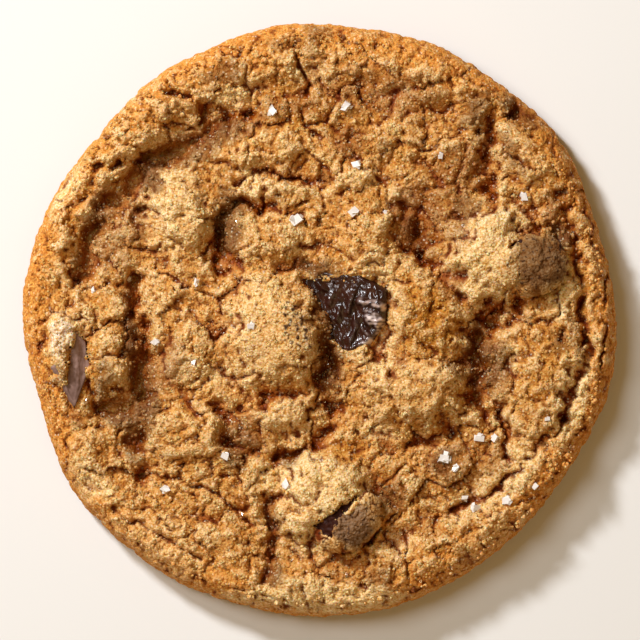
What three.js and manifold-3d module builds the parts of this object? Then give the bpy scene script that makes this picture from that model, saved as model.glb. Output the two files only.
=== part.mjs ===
// A large chocolate chip cookie, baked as one round of dough: a thick browned rim, a cracked and
// craggy top with mounds over the chips, four chocolate pieces that show, and coarse salt on top.
// Millimetres, +Z up. The origin is on the flat underside, at the middle of the round.
import * as THREE from "three";
import { mergeVertices } from "three/addons/utils/BufferGeometryUtils.js";
import Module from "manifold-3d";

const wasm = await Module();
wasm.setup();

// Driving dimensions of the round.
const MEAN_RADIUS = 44.5;
const TOP_AT_RIM = 7.4; // height of the top surface just inside the rim
const DOME = 1.3; // how much higher the middle is
const EDGE_ROUND = 3.0; // width of the rounded edge, seen from above
const WAIST_HEIGHT = 1.7; // height at which the round is widest
const FOOT_INSET = 1.1; // how far the underside lies inside the widest line
const EDGE_POWER = 0.9; // 1 makes the edge an ellipse, less makes it fuller

// The browned rim: a low ring that stands up, and the hollow just inside it.
const RIM = { inset: 5.0, rise: 0.9, width: 2.6 };
const HOLLOW = { inset: 9.6, drop: 0.5, width: 2.0 };

// How finely the surface is divided.
const TOP_RINGS = 35;
const EDGE_RINGS = 5;
const RING_STEP = 6; // how many more corners each ring has than the one inside it

const CHIP_GAP = 0.39; // clearance between a chocolate piece and its pocket
const DROP_SEGMENTS = 16;
const DROP_RINGS = 10;
const WELD = 1e-4; // corners nearer than this are one
const CHOCOLATE_BROWN = 0x4a2c22;
const DOUGH_TAN = 0xc9924f;

// The outline departs from a circle by a few waves: [waves round the edge, height, crest in degrees].
const OUTLINE_WAVES = [
  [2, 0.44, 50],
  [4, 0.13, -5],
  [6, 0.32, -13],
  [8, 0.15, -8],
  [10, 0.1, -5],
  [12, 0.11, 6],
  [13, 0.09, 14],
];

// Rounded mounds: [x, y, half length, half width, turn in degrees, height]. Each rises from its foot
// to its full height between these shares of the way from its middle to its edge.
const MOUND_TOP = 0.3;
const MOUND_FOOT = 1.1;
const MOUNDS = [
  [25.4, 9.6, 7.2, 9.2, 0, 4.0], // bright mound on the right
  [32.2, 8.2, 5.8, 5.6, 0, 2.4], // its shoulder, round the right chip
  [0.6, -25.4, 7.8, 6.8, -8, 3.8], // lower mound
  [4.8, -31.0, 6.2, 5.0, 30, 1.8], // its shoulder, round the lower chip
  [-6.6, -1.8, 8.4, 10.4, 0, 4.2], // mound left of the middle
  [13.8, -11.0, 8.6, 6.2, 6, 3.0],
  [16.4, 1.6, 6.6, 8.0, 0, 2.4],
  [-20.8, 16.2, 5.2, 7.4, 0, 2.8],
  [-8.6, 11.8, 6.8, 4.2, 0, 1.8],
  [-5.4, 19.4, 5.2, 2.2, -8, 1.5],
  [-8.4, 26.0, 7.2, 3.8, 8, 1.6],
  [6.6, 12.6, 4.8, 7.4, 0, 1.7],
  [4.6, 21.6, 4.6, 2.8, 0, 1.2],
  [33.6, -9.8, 5.2, 10.4, -16, 1.8], // long plate inside the right rim
  [-19.6, -4.2, 4.8, 7.0, 0, 1.4],
  [-19.8, -17.0, 7.4, 5.6, 0, 1.6],
  [-38.6, -3.6, 2.8, 6.6, 0, 2.0], // ridge over the left chip
  [-32.0, -5.8, 3.2, 6.4, 0, 1.8],
  [-5.4, -14.2, 5.8, 3.0, 8, 1.7],
  [-16.4, -32.8, 7.4, 3.4, -22, 1.2],
  [-9.2, -25.0, 3.4, 4.2, 0, 1.3],
  [-27.0, 29.4, 9.4, 5.0, 45, 1.5], // swollen stretch of the rim
  [13.8, 35.4, 7.0, 3.6, -18, 1.0],
  [20.6, 27.4, 4.6, 4.4, 0, 1.2],
  [30.4, 24.6, 3.4, 6.0, 40, 1.2],
  [7.8, -8.0, 3.8, 3.4, 0, 1.8],
  [35.4, 3.0, 3.2, 5.6, 0, 1.6],
  [-20.0, 8.6, 4.0, 4.0, 0, 1.0],
  [-3.0, -30.6, 3.4, 3.0, 0, 2.0],
  [-35.6, 0.6, 2.4, 4.0, 0, 1.2],
  [11.8, 1.0, 2.2, 5.6, 0, 0.9],
  [9.0, -35.4, 4.6, 1.8, 16, 0.8],
];

// Cracks and valleys: half width, depth, and the points that each runs through.
const CRACKS = [
  {
    width: 1.3, depth: 2.4,
    through: [[-33.4, 22.4], [-30.0, 23.4], [-26.0, 24.0], [-22.0, 26.0], [-18.4, 27.6]],
  },
  { width: 1.2, depth: 1.8, through: [[-22.4, 34.0], [-19.6, 32.6], [-17.6, 30.6]] },
  { width: 1.2, depth: 0.9, through: [[-33.4, 22.4], [-36.8, 17.0], [-37.2, 10.0], [-36.4, 5.0]] },
  {
    width: 1.8, depth: 2.6,
    through: [
      [-35.8, 7.0], [-34.6, 13.0], [-31.0, 18.8], [-26.6, 22.6],
      [-21.4, 25.4], [-15.4, 29.4], [-11.0, 31.0],
    ],
  },
  {
    width: 1.7, depth: 3.4,
    through: [[-28.2, 6.0], [-27.2, 0.0], [-26.8, -5.0], [-26.8, -10.4], [-32.2, -13.8]],
  },
  { width: 1.7, depth: 2.0, through: [[-26.8, -11.0], [-26.8, -17.0], [-26.6, -22.6]] },
  {
    width: 1.4, depth: 2.4,
    through: [[-8.6, 17.4], [-11.6, 17.6], [-13.8, 15.6], [-14.8, 11.6], [-14.2, 8.0]],
  },
  { width: 1.2, depth: 1.4, through: [[-11.0, 17.2], [-6.0, 16.4], [-2.2, 15.2]] },
  { width: 1.2, depth: 1.2, through: [[-13.0, 20.8], [-7.0, 22.0], [0.6, 21.0]] },
  { width: 1.2, depth: 1.2, through: [[-4.2, 40.6], [-2.0, 36.2], [-3.0, 31.4], [0.4, 27.0]] },
  { width: 2.2, depth: 2.2, through: [[13.8, 16.0], [14.4, 13.0], [14.2, 10.4]] },
  { width: 1.4, depth: 1.4, through: [[13.8, 10.4], [15.6, 8.6], [19.6, 8.0]] },
  { width: 1.5, depth: 1.5, through: [[17.6, 7.4], [20.4, 6.6], [21.6, 3.6]] },
  { width: 1.3, depth: 1.2, through: [[-27.2, 10.6], [-27.4, 14.0], [-26.2, 18.0]] },
  { width: 1.3, depth: 2.4, through: [[29.6, 2.0], [26.0, -0.4], [24.0, -2.0]] },
  { width: 2.1, depth: 3.2, through: [[24.0, -1.0], [23.4, -6.0], [22.8, -10.4], [25.2, -13.6]] },
  { width: 1.2, depth: 1.3, through: [[26.8, -14.0], [28.2, -17.4], [28.0, -21.0]] },
  { width: 1.2, depth: 1.4, through: [[34.6, 13.6], [36.6, 11.6], [37.8, 9.4]] },
  {
    width: 1.2, depth: 2.2,
    through: [[36.4, 19.4], [37.9, 11.4], [39.2, 7.2], [39.5, 0.5], [40.2, -3.6], [36.4, -14.6]],
  },
  { width: 1.2, depth: 1.9, through: [[36.4, -14.6], [30.8, -21.2], [26.0, -25.6], [20.0, -29.2]] },
  { width: 1.7, depth: 2.2, through: [[29.4, 31.6], [25.4, 28.4], [24.2, 24.0], [24.8, 19.6]] },
  { width: 1.5, depth: 2.2, through: [[1.2, -3.4], [1.8, -6.2], [-0.4, -9.4], [2.4, -13.4]] },
  { width: 1.2, depth: 1.3, through: [[-12.0, -13.6], [-8.0, -11.8], [-4.0, -12.0], [0.0, -10.0]] },
  { width: 1.2, depth: 1.5, through: [[-23.6, -23.2], [-17.4, -25.4], [-13.2, -28.0], [-8.0, -31.8]] },
  { width: 1.2, depth: 1.6, through: [[-7.4, -27.0], [-7.4, -31.4], [-7.6, -38.6]] },
  { width: 1.5, depth: 1.8, through: [[-15.2, -13.4], [-14.4, -17.6], [-10.2, -20.2]] },
  { width: 1.4, depth: 1.2, through: [[9.8, -19.0], [14.6, -18.0], [19.8, -16.6]] },
  { width: 1.3, depth: 1.8, through: [[-6.4, -20.4], [-3.0, -19.6], [1.6, -16.4]] },
  { width: 1.2, depth: 1.0, through: [[-31.0, -28.0], [-25.4, -31.4], [-18.6, -36.0]] },
  { width: 1.2, depth: 1.4, through: [[10.2, -29.0], [8.8, -31.8], [6.6, -33.6], [3.4, -34.6]] },
];

// The crust breaks into plates of uneven height and tilt, with creases between them. Smaller lumps
// lie all over. Cells are in millimetres, and the lumps' sizes and the creases in shares of a cell.
const PLATES = {
  cell: 5.6, height: 0.75, crease: 0.6, creaseWidth: 0.22, level: 0.55, tilt: 0.9, seed: 51,
};
const LUMPS = { cell: 2.9, height: 0.45, least: 0.55, most: 0.9, margin: 0.15, seed: 12 };
const UNEVEN = { length: 7.0, height: 0.6, seed: 21 };
// The rim, by its distance from the edge, and the mounds, by their height, are less broken.
const WHOLE_RIM = { from: 1.0, to: 9.0, share: 0.4 };
const WHOLE_MOUND = { from: 1.5, to: 4.0, share: 0.5 };
const WINDOW_EDGE = 0.5; // half width of the slope round the bare spot over a chocolate piece
const WANDER = { length: 3.4, reach: 1.1, seed: 31 }; // how far noise pushes the edges of a form

// Chocolate pieces. Window is the outline of the bare spot that a piece shows through, and floor is
// the height of the dough there. A chunk has flat faces: its corners are round the middle of its
// top, which leans by two angles. A drop is an ellipsoid, turned round its middle.
const CHUNK_CENTRE = {
  name: "chip_centre",
  at: [4.4, 0.9, 8.5],
  corners: [[-8.4, 6.8], [1.6, 5.9], [5.7, 3.6], [5.4, -1.4], [3.0, -4.8], [-1.0, -6.2], [-5.6, -1.4]],
  lean: [4, -9],
  thick: 5.0,
  window: [
    [-2.7, 6.0], [1.6, 6.0], [7.1, 5.7], [9.3, 4.0], [9.3, -0.8],
    [7.2, -3.4], [4.1, -5.0], [1.6, -2.4], [-0.9, 3.7],
  ],
  floor: 7.0,
};
const CHUNK_LEFT = {
  name: "chip_left",
  at: [-37.2, -6.6, 8.9],
  corners: [[-0.9, 6.6], [2.4, 3.4], [3.4, 0.0], [0.7, -6.6], [-2.9, -0.5]],
  lean: [0, 22],
  thick: 4.2,
  window: [[-36.8, -1.6], [-35.3, -2.9], [-34.4, -6.6], [-36.5, -12.2], [-38.4, -8.3], [-37.0, -4.1]],
  floor: 7.2,
};
const DROP_LOWER = {
  name: "chip_lower",
  at: [4.2, -30.0, 8.3],
  half: [5.3, 4.2, 3.2],
  turn: 36,
  window: [
    [5.4, -26.2], [2.6, -27.6], [-1.2, -30.7], [1.9, -33.4],
    [5.3, -34.1], [8.2, -32.4], [9.4, -29.0], [8.2, -26.8],
  ],
  floor: 7.4,
};
const DROP_RIGHT = {
  name: "chip_right",
  at: [32.2, 8.4, 9.2],
  half: [4.7, 4.6, 3.3],
  turn: 0,
  window: [[28.9, 11.2], [32.4, 12.9], [35.8, 11.4], [36.3, 8.0], [34.2, 4.6], [30.8, 4.6], [28.4, 7.4]],
  floor: 9.0,
};
const CHUNK_BEVEL = 0.6;
const CHIPS = [CHUNK_CENTRE, CHUNK_LEFT, DROP_LOWER, DROP_RIGHT];

// Coarse salt, fused to the top: [x, y, length of the crystal].
const SALT = [
  [-7.1, 31.2, 1.6],
  [3.9, 32.1, 1.7],
  [5.4, 23.3, 1.4],
  [-3.5, 15.0, 2.1],
  [5.0, 16.2, 1.4],
  [30.5, 18.4, 1.3],
  [-18.5, 5.6, 1.2],
  [-24.7, -3.3, 1.4],
  [-23.3, -25.2, 1.6],
  [-14.3, -20.3, 1.4],
  [-5.0, -24.6, 1.5],
  [23.8, -17.7, 1.5],
  [18.5, -20.7, 2.0],
  [23.3, -28.1, 1.7],
  [27.8, -27.1, 1.7],
];
const SALT_SHAPE = { width: 0.75, height: 0.45, raised: 0.08 }; // as shares of the length
const SALT_TIP = 0.1; // the most that a crystal tips, as a share of a turn
const SALT_SEED = 41;

const NOISE_GAIN = 1.5; // brings the noise to about -1 to 1
const radians = THREE.MathUtils.degToRad;
const { smoothstep } = THREE.MathUtils;

const bell = (away, width) => Math.exp(-((away / width) ** 2));

// A number from 0 to 1 that depends only on two whole numbers and a seed.
function chance(i, j, seed) {
  let h = Math.imul(i, 374761393) ^ Math.imul(j, 668265263) ^ Math.imul(seed, 1442695041);
  h = Math.imul(h ^ (h >>> 13), 1274126177);
  h = Math.imul(h ^ (h >>> 15), 1911520717);
  return ((h ^ (h >>> 16)) >>> 0) / 4294967296;
}

// Smooth noise that changes over one unit.
function noise(x, y, seed) {
  const i = Math.floor(x);
  const j = Math.floor(y);
  const u = x - i;
  const v = y - j;
  const slope = (di, dj) => {
    const angle = 2 * Math.PI * chance(i + di, j + dj, seed);
    return Math.cos(angle) * (u - di) + Math.sin(angle) * (v - dj);
  };
  const ease = (t) => t * t * t * (t * (6 * t - 15) + 10);
  const low = THREE.MathUtils.lerp(slope(0, 0), slope(1, 0), ease(u));
  const high = THREE.MathUtils.lerp(slope(0, 1), slope(1, 1), ease(u));
  return NOISE_GAIN * THREE.MathUtils.lerp(low, high, ease(v));
}

// Calls a visitor for the square cell of a point and its eight neighbours, as (column, row).
function eachNearCell(x, y, visit) {
  for (let a = Math.floor(x) - 1; a <= Math.floor(x) + 1; a++)
    for (let b = Math.floor(y) - 1; b <= Math.floor(y) + 1; b++) visit(a, b);
}

// Round lumps, one in each cell: 0 in the creases, up to 1 on top.
function lumps(x, y, { least, most, margin, seed }) {
  let top = 0;
  eachNearCell(x, y, (a, b) => {
    const size = THREE.MathUtils.lerp(least, most, chance(a, b, seed + 200));
    const dx = x - a - THREE.MathUtils.lerp(margin, 1 - margin, chance(a, b, seed));
    const dy = y - b - THREE.MathUtils.lerp(margin, 1 - margin, chance(a, b, seed + 100));
    const away = Math.hypot(dx, dy) / size;
    top = Math.max(top, size * Math.sqrt(Math.max(0, 1 - away * away)));
  });
  return top / most;
}

// Flat pieces of uneven height and tilt, one round each cell's own point, creased where they meet.
function plates(x, y, { crease, creaseWidth, level, tilt, seed }) {
  let nearest = Infinity;
  let second = Infinity;
  let height = 0;
  eachNearCell(x, y, (a, b) => {
    const dx = x - a - chance(a, b, seed);
    const dy = y - b - chance(a, b, seed + 100);
    const away = Math.hypot(dx, dy);
    second = Math.min(second, Math.max(away, nearest));
    if (away >= nearest) return;
    nearest = away;
    const lean = 2 * Math.PI * chance(a, b, seed + 300);
    height = level * (2 * chance(a, b, seed + 200) - 1);
    height += tilt * (Math.cos(lean) * dx + Math.sin(lean) * dy);
  });
  return height - crease * bell(second - nearest, creaseWidth);
}

// How far a point is from the middle of an ellipse, as a share of the way to its edge.
function ellipseShare(x, y, [cx, cy, halfLength, halfWidth, turn]) {
  const c = Math.cos(radians(turn));
  const s = Math.sin(radians(turn));
  const along = (x - cx) * c + (y - cy) * s;
  const across = (y - cy) * c - (x - cx) * s;
  return Math.hypot(along / halfLength, across / halfWidth);
}

// The distance from a point to a line through several points.
function lineDistance(x, y, through) {
  let least = Infinity;
  for (let k = 1; k < through.length; k++) {
    const [ax, ay] = through[k - 1];
    const dx = through[k][0] - ax;
    const dy = through[k][1] - ay;
    const t = THREE.MathUtils.clamp(((x - ax) * dx + (y - ay) * dy) / (dx * dx + dy * dy), 0, 1);
    least = Math.min(least, Math.hypot(x - ax - t * dx, y - ay - t * dy));
  }
  return least;
}

// How far a point lies outside a closed outline; negative inside it.
function outsideBy(x, y, outline) {
  let inside = false;
  for (let k = 0; k < outline.length; k++) {
    const [ax, ay] = outline[k];
    const [bx, by] = outline[(k + 1) % outline.length];
    if (ay > y !== by > y && x < ax + ((bx - ax) * (y - ay)) / (by - ay)) inside = !inside;
  }
  const away = lineDistance(x, y, [...outline, outline[0]]);
  return inside ? -away : away;
}

function outlineRadius(angle) {
  return OUTLINE_WAVES.reduce(
    (radius, [waves, height, crest]) => radius + height * Math.cos(waves * (angle - radians(crest))),
    MEAN_RADIUS,
  );
}

// Height of the top surface, before the edge rounds it off.
function topHeight(x, y) {
  const inset = outlineRadius(Math.atan2(y, x)) - Math.hypot(x, y);
  const wx = x + WANDER.reach * noise(x / WANDER.length, y / WANDER.length, WANDER.seed);
  const wy = y + WANDER.reach * noise(x / WANDER.length, y / WANDER.length, WANDER.seed + 1);
  let z = TOP_AT_RIM + DOME * smoothstep(inset, 0, MEAN_RADIUS);
  z += RIM.rise * bell(inset - RIM.inset, RIM.width);
  z -= HOLLOW.drop * bell(inset - HOLLOW.inset, HOLLOW.width);
  const swell = MOUNDS.reduce((sum, [cx, cy, halfLength, halfWidth, turn, height]) => {
    const share = ellipseShare(wx, wy, [cx, cy, halfLength, halfWidth, turn]);
    return sum + height * (1 - smoothstep(share, MOUND_TOP, MOUND_FOOT));
  }, 0);
  z += swell;
  z += UNEVEN.height * noise(x / UNEVEN.length, y / UNEVEN.length, UNEVEN.seed);
  const offRim = smoothstep(inset, WHOLE_RIM.from, WHOLE_RIM.to);
  const onMound = smoothstep(swell, WHOLE_MOUND.from, WHOLE_MOUND.to);
  const broken =
    THREE.MathUtils.lerp(WHOLE_RIM.share, 1, offRim) * THREE.MathUtils.lerp(1, WHOLE_MOUND.share, onMound);
  z += PLATES.height * broken * plates(wx / PLATES.cell, wy / PLATES.cell, PLATES);
  z += LUMPS.height * (lumps(x / LUMPS.cell, y / LUMPS.cell, LUMPS) - 0.5);
  for (const { width, depth, through } of CRACKS)
    z -= depth * bell(lineDistance(wx, wy, through), width);
  for (const { window, floor } of CHIPS) {
    const bare = 1 - smoothstep(outsideBy(x, y, window), -WINDOW_EDGE, WINDOW_EDGE);
    z = THREE.MathUtils.lerp(z, Math.min(z, floor), bare);
  }
  return z;
}

// Corners of the rings that the surface is laid on, from the middle of the top out to the foot.
function surfaceRings() {
  const rings = [];
  const ringOf = (count, place) =>
    Array.from({ length: count }, (_, k) => {
      const angle = (2 * Math.PI * k) / count;
      const [radius, height] = place(angle);
      return new THREE.Vector3(radius * Math.cos(angle), radius * Math.sin(angle), height);
    });
  for (let ring = 0; ring <= TOP_RINGS; ring++)
    rings.push(
      ringOf(Math.max(1, RING_STEP * ring), (angle) => {
        const radius = ((outlineRadius(angle) - EDGE_ROUND) * ring) / TOP_RINGS;
        return [radius, topHeight(radius * Math.cos(angle), radius * Math.sin(angle))];
      }),
    );
  for (let ring = 1; ring <= EDGE_RINGS; ring++)
    rings.push(
      ringOf(RING_STEP * TOP_RINGS, (angle) => {
        const fall = (Math.PI / 2) * (ring / EDGE_RINGS);
        const outer = outlineRadius(angle);
        const radius = outer - EDGE_ROUND * (1 - Math.sin(fall) ** EDGE_POWER);
        const top = topHeight(radius * Math.cos(angle), radius * Math.sin(angle));
        return [radius, WAIST_HEIGHT + (top - WAIST_HEIGHT) * Math.cos(fall) ** EDGE_POWER];
      }),
    );
  rings.push(ringOf(RING_STEP * TOP_RINGS, (angle) => [outlineRadius(angle) - FOOT_INSET, 0]));
  rings.push([new THREE.Vector3(0, 0, 0)]);
  return rings;
}

// Triangles between each ring and the next, whatever number of corners each has.
function stitch(rings) {
  const points = [];
  const starts = rings.map((ring) => {
    points.push(...ring);
    return points.length - ring.length;
  });
  const faces = [];
  for (let r = 1; r < rings.length; r++) {
    const inner = rings[r - 1].length;
    const outer = rings[r].length;
    const a = (k) => starts[r - 1] + (k % inner);
    const b = (k) => starts[r] + (k % outer);
    let i = 0;
    let j = 0;
    while (i < (inner > 1 ? inner : 0) || j < (outer > 1 ? outer : 0)) {
      const stepOuter = inner === 1 || (outer > 1 && (j + 0.5) / outer <= (i + 0.5) / inner);
      if (stepOuter) {
        faces.push(a(i), b(j), b(j + 1));
        j++;
      } else {
        faces.push(a(i), b(j), a(i + 1));
        i++;
      }
    }
  }
  return new THREE.BufferGeometry().setFromPoints(points).setIndex(faces);
}

// Joins and cuts are made on solids, and what comes of them is a geometry again.
function solidOf(geometry) {
  const bare = geometry.clone();
  bare.deleteAttribute("normal");
  bare.deleteAttribute("uv");
  const merged = mergeVertices(bare, WELD);
  return new wasm.Manifold(
    new wasm.Mesh({
      numProp: 3,
      vertProperties: merged.getAttribute("position").array,
      triVerts: new Uint32Array(merged.index.array),
    }),
  );
}

function geometryOf(solid) {
  const { vertProperties, triVerts } = solid.getMesh();
  const geometry = new THREE.BufferGeometry()
    .setAttribute("position", new THREE.BufferAttribute(vertProperties, 3))
    .setIndex(new THREE.BufferAttribute(triVerts, 1));
  geometry.computeVertexNormals();
  return geometry;
}

// A broken chunk of chocolate with flat faces, its top face at the origin.
function chunkGeometry({ corners, thick }) {
  const bevel = CHUNK_BEVEL;
  const outline = new THREE.Shape(corners.map(([x, y]) => new THREE.Vector2(x, y)).reverse());
  const geometry = new THREE.ExtrudeGeometry(outline, {
    depth: thick - 2 * bevel,
    bevelThickness: bevel,
    bevelSize: bevel,
    bevelOffset: -bevel,
    bevelSegments: 2,
    curveSegments: 1,
  });
  return geometry.translate(0, 0, bevel - thick);
}

// A rounded chip, its middle at the origin.
function dropGeometry({ half }) {
  return new THREE.SphereGeometry(1, DROP_SEGMENTS, DROP_RINGS).rotateX(Math.PI / 2).scale(...half);
}

function chipGeometry(chip) {
  if (chip.corners)
    return chunkGeometry(chip)
      .rotateX(radians(chip.lean[0]))
      .rotateY(radians(chip.lean[1]));
  return dropGeometry(chip).rotateZ(radians(chip.turn));
}

// The same piece grown by the gap all round, for cutting its pocket.
function pocketGeometry(chip) {
  const geometry = chipGeometry(chip);
  geometry.computeBoundingBox();
  const middle = geometry.boundingBox.getCenter(new THREE.Vector3());
  const size = geometry.boundingBox.getSize(new THREE.Vector3());
  const grow = (length) => 1 + (2 * CHIP_GAP) / length;
  return geometry
    .translate(-middle.x, -middle.y, -middle.z)
    .scale(grow(size.x), grow(size.y), grow(size.z))
    .translate(middle.x, middle.y, middle.z)
    .translate(...chip.at);
}

// One salt crystal: a flat block, tipped a little and half sunk in the dough where it lies.
function saltGeometry([x, y, length], index) {
  const turn = (part) => 2 * Math.PI * chance(index, part, SALT_SEED);
  return new THREE.BoxGeometry(length, SALT_SHAPE.width * length, SALT_SHAPE.height * length)
    .rotateX(SALT_TIP * turn(1))
    .rotateY(SALT_TIP * turn(2))
    .rotateZ(turn(3))
    .translate(x, y, topHeight(x, y) + SALT_SHAPE.raised * length);
}

function cookieGeometry() {
  let cookie = solidOf(stitch(surfaceRings()));
  for (const [index, grain] of SALT.entries()) cookie = cookie.add(solidOf(saltGeometry(grain, index)));
  for (const chip of CHIPS) cookie = cookie.subtract(solidOf(pocketGeometry(chip)));
  const pieces = cookie.decompose();
  pieces.sort((a, b) => b.volume() - a.volume());
  return geometryOf(pieces[0]);
}

function named(name, geometry, color, roughness) {
  const mesh = new THREE.Mesh(
    geometry,
    new THREE.MeshStandardMaterial({ color, roughness, metalness: 0 }),
  );
  mesh.name = name;
  return mesh;
}

const group = new THREE.Group();
group.add(named("cookie", cookieGeometry(), DOUGH_TAN, 0.85));
for (const chip of CHIPS) {
  const piece = named(chip.name, chipGeometry(chip), CHOCOLATE_BROWN, 0.45);
  piece.position.set(...chip.at);
  group.add(piece);
}

export default group;
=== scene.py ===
"""A large chocolate chip cookie, seen from straight above: crumbly dough, four chocolate pieces,
sugar and coarse salt. The relief is worked out in millimetres, as in the part's source, and every
piece is made in metres."""
import math

import bmesh
import bpy
import numpy as np
from mathutils import Euler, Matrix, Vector


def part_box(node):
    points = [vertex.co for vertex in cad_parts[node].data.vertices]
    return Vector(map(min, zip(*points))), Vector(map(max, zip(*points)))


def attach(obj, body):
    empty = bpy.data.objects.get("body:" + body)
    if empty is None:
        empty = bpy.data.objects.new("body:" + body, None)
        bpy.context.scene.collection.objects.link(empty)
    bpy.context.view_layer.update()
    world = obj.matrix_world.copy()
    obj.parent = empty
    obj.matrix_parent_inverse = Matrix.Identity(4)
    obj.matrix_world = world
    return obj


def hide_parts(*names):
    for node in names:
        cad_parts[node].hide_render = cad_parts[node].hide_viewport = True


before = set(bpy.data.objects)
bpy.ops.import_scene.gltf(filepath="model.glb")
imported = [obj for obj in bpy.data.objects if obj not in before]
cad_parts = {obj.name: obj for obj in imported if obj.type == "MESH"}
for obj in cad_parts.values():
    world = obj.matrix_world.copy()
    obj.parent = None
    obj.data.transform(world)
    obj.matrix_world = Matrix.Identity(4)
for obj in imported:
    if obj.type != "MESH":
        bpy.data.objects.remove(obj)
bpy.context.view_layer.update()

MM = 0.001

# Driving dimensions of the round, in millimetres. The part's source has the main ones too.
MEAN_RADIUS = 44.5
TOP_AT_RIM = 7.4
DOME = 1.3
EDGE_ROUND = 3.0
EDGE_POWER = 0.9  # below 1 the edge's curve is fuller than a quarter circle
WAIST_HEIGHT = 1.7
FOOT_INSET = 1.1
PIT_FROM, PIT_FLOOR = 3.2, 1.5  # below the first height pits flatten out, never under the second
CEILING_FROM, CEILING_SHARE = 12.2, 0.45  # heights above the first are pressed down to this share
RIM_INSET, RIM_RISE, RIM_WIDTH = 5.0, 0.9, 2.6
HOLLOW_INSET, HOLLOW_DROP, HOLLOW_WIDTH = 9.6, 0.5, 2.0

# The outline departs from a circle by a few waves: waves round the edge, height, crest in degrees.
OUTLINE_WAVES = [
    (2, 0.44, 50),
    (4, 0.13, -5),
    (6, 0.32, -13),
    (8, 0.15, -8),
    (10, 0.1, -5),
    (12, 0.11, 6),
    (13, 0.09, 14),
]

# Rounded mounds: x, y, half length, half width, turn in degrees, height.
MOUND_TOP = 0.3
MOUND_FOOT = 1.1
MOUNDS = [
    (25.4, 9.6, 7.2, 9.2, 0, 4.0),  # bright mound on the right
    (32.2, 8.2, 5.8, 5.6, 0, 2.4),  # its shoulder, round the right chip
    (0.6, -25.4, 7.8, 6.8, -8, 3.8),  # lower mound
    (4.8, -31.0, 6.2, 5.0, 30, 1.8),  # its shoulder, round the lower chip
    (-6.6, -1.8, 8.4, 10.4, 0, 4.2),  # mound left of the middle
    (13.8, -11.0, 8.6, 6.2, 6, 3.0),
    (16.4, 1.6, 6.6, 8.0, 0, 2.4),
    (-20.8, 16.2, 5.2, 7.4, 0, 2.8),
    (-8.6, 11.8, 6.8, 4.2, 0, 1.8),
    (-5.4, 19.4, 5.2, 2.2, -8, 1.5),
    (-8.4, 26.0, 7.2, 3.8, 8, 1.6),
    (6.6, 12.6, 4.8, 7.4, 0, 1.7),
    (4.6, 21.6, 4.6, 2.8, 0, 1.2),
    (33.6, -9.8, 5.2, 10.4, -16, 1.8),  # long plate inside the right rim
    (-19.6, -4.2, 4.8, 7.0, 0, 1.4),
    (-19.8, -17.0, 7.4, 5.6, 0, 1.6),
    (-38.6, -3.6, 2.8, 6.6, 0, 2.0),  # ridge over the left chip
    (-32.0, -5.8, 3.2, 6.4, 0, 1.8),
    (-5.4, -14.2, 5.8, 3.0, 8, 1.7),
    (-16.4, -32.8, 7.4, 3.4, -22, 1.2),
    (-9.2, -25.0, 3.4, 4.2, 0, 1.3),
    (-27.0, 29.4, 9.4, 5.0, 45, 1.5),  # swollen stretch of the rim
    (13.8, 35.4, 7.0, 3.6, -18, 1.0),
    (20.6, 27.4, 4.6, 4.4, 0, 1.2),
    (30.4, 24.6, 3.4, 6.0, 40, 1.2),
    (7.8, -8.0, 3.8, 3.4, 0, 1.8),
    (35.4, 3.0, 3.2, 5.6, 0, 1.6),
    (-20.0, 8.6, 4.0, 4.0, 0, 1.0),
    (-3.0, -30.6, 3.4, 3.0, 0, 2.0),
    (-35.6, 0.6, 2.4, 4.0, 0, 1.2),
    (11.8, 1.0, 2.2, 5.6, 0, 0.9),
    (9.0, -35.4, 4.6, 1.8, 16, 0.8),
]

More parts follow.
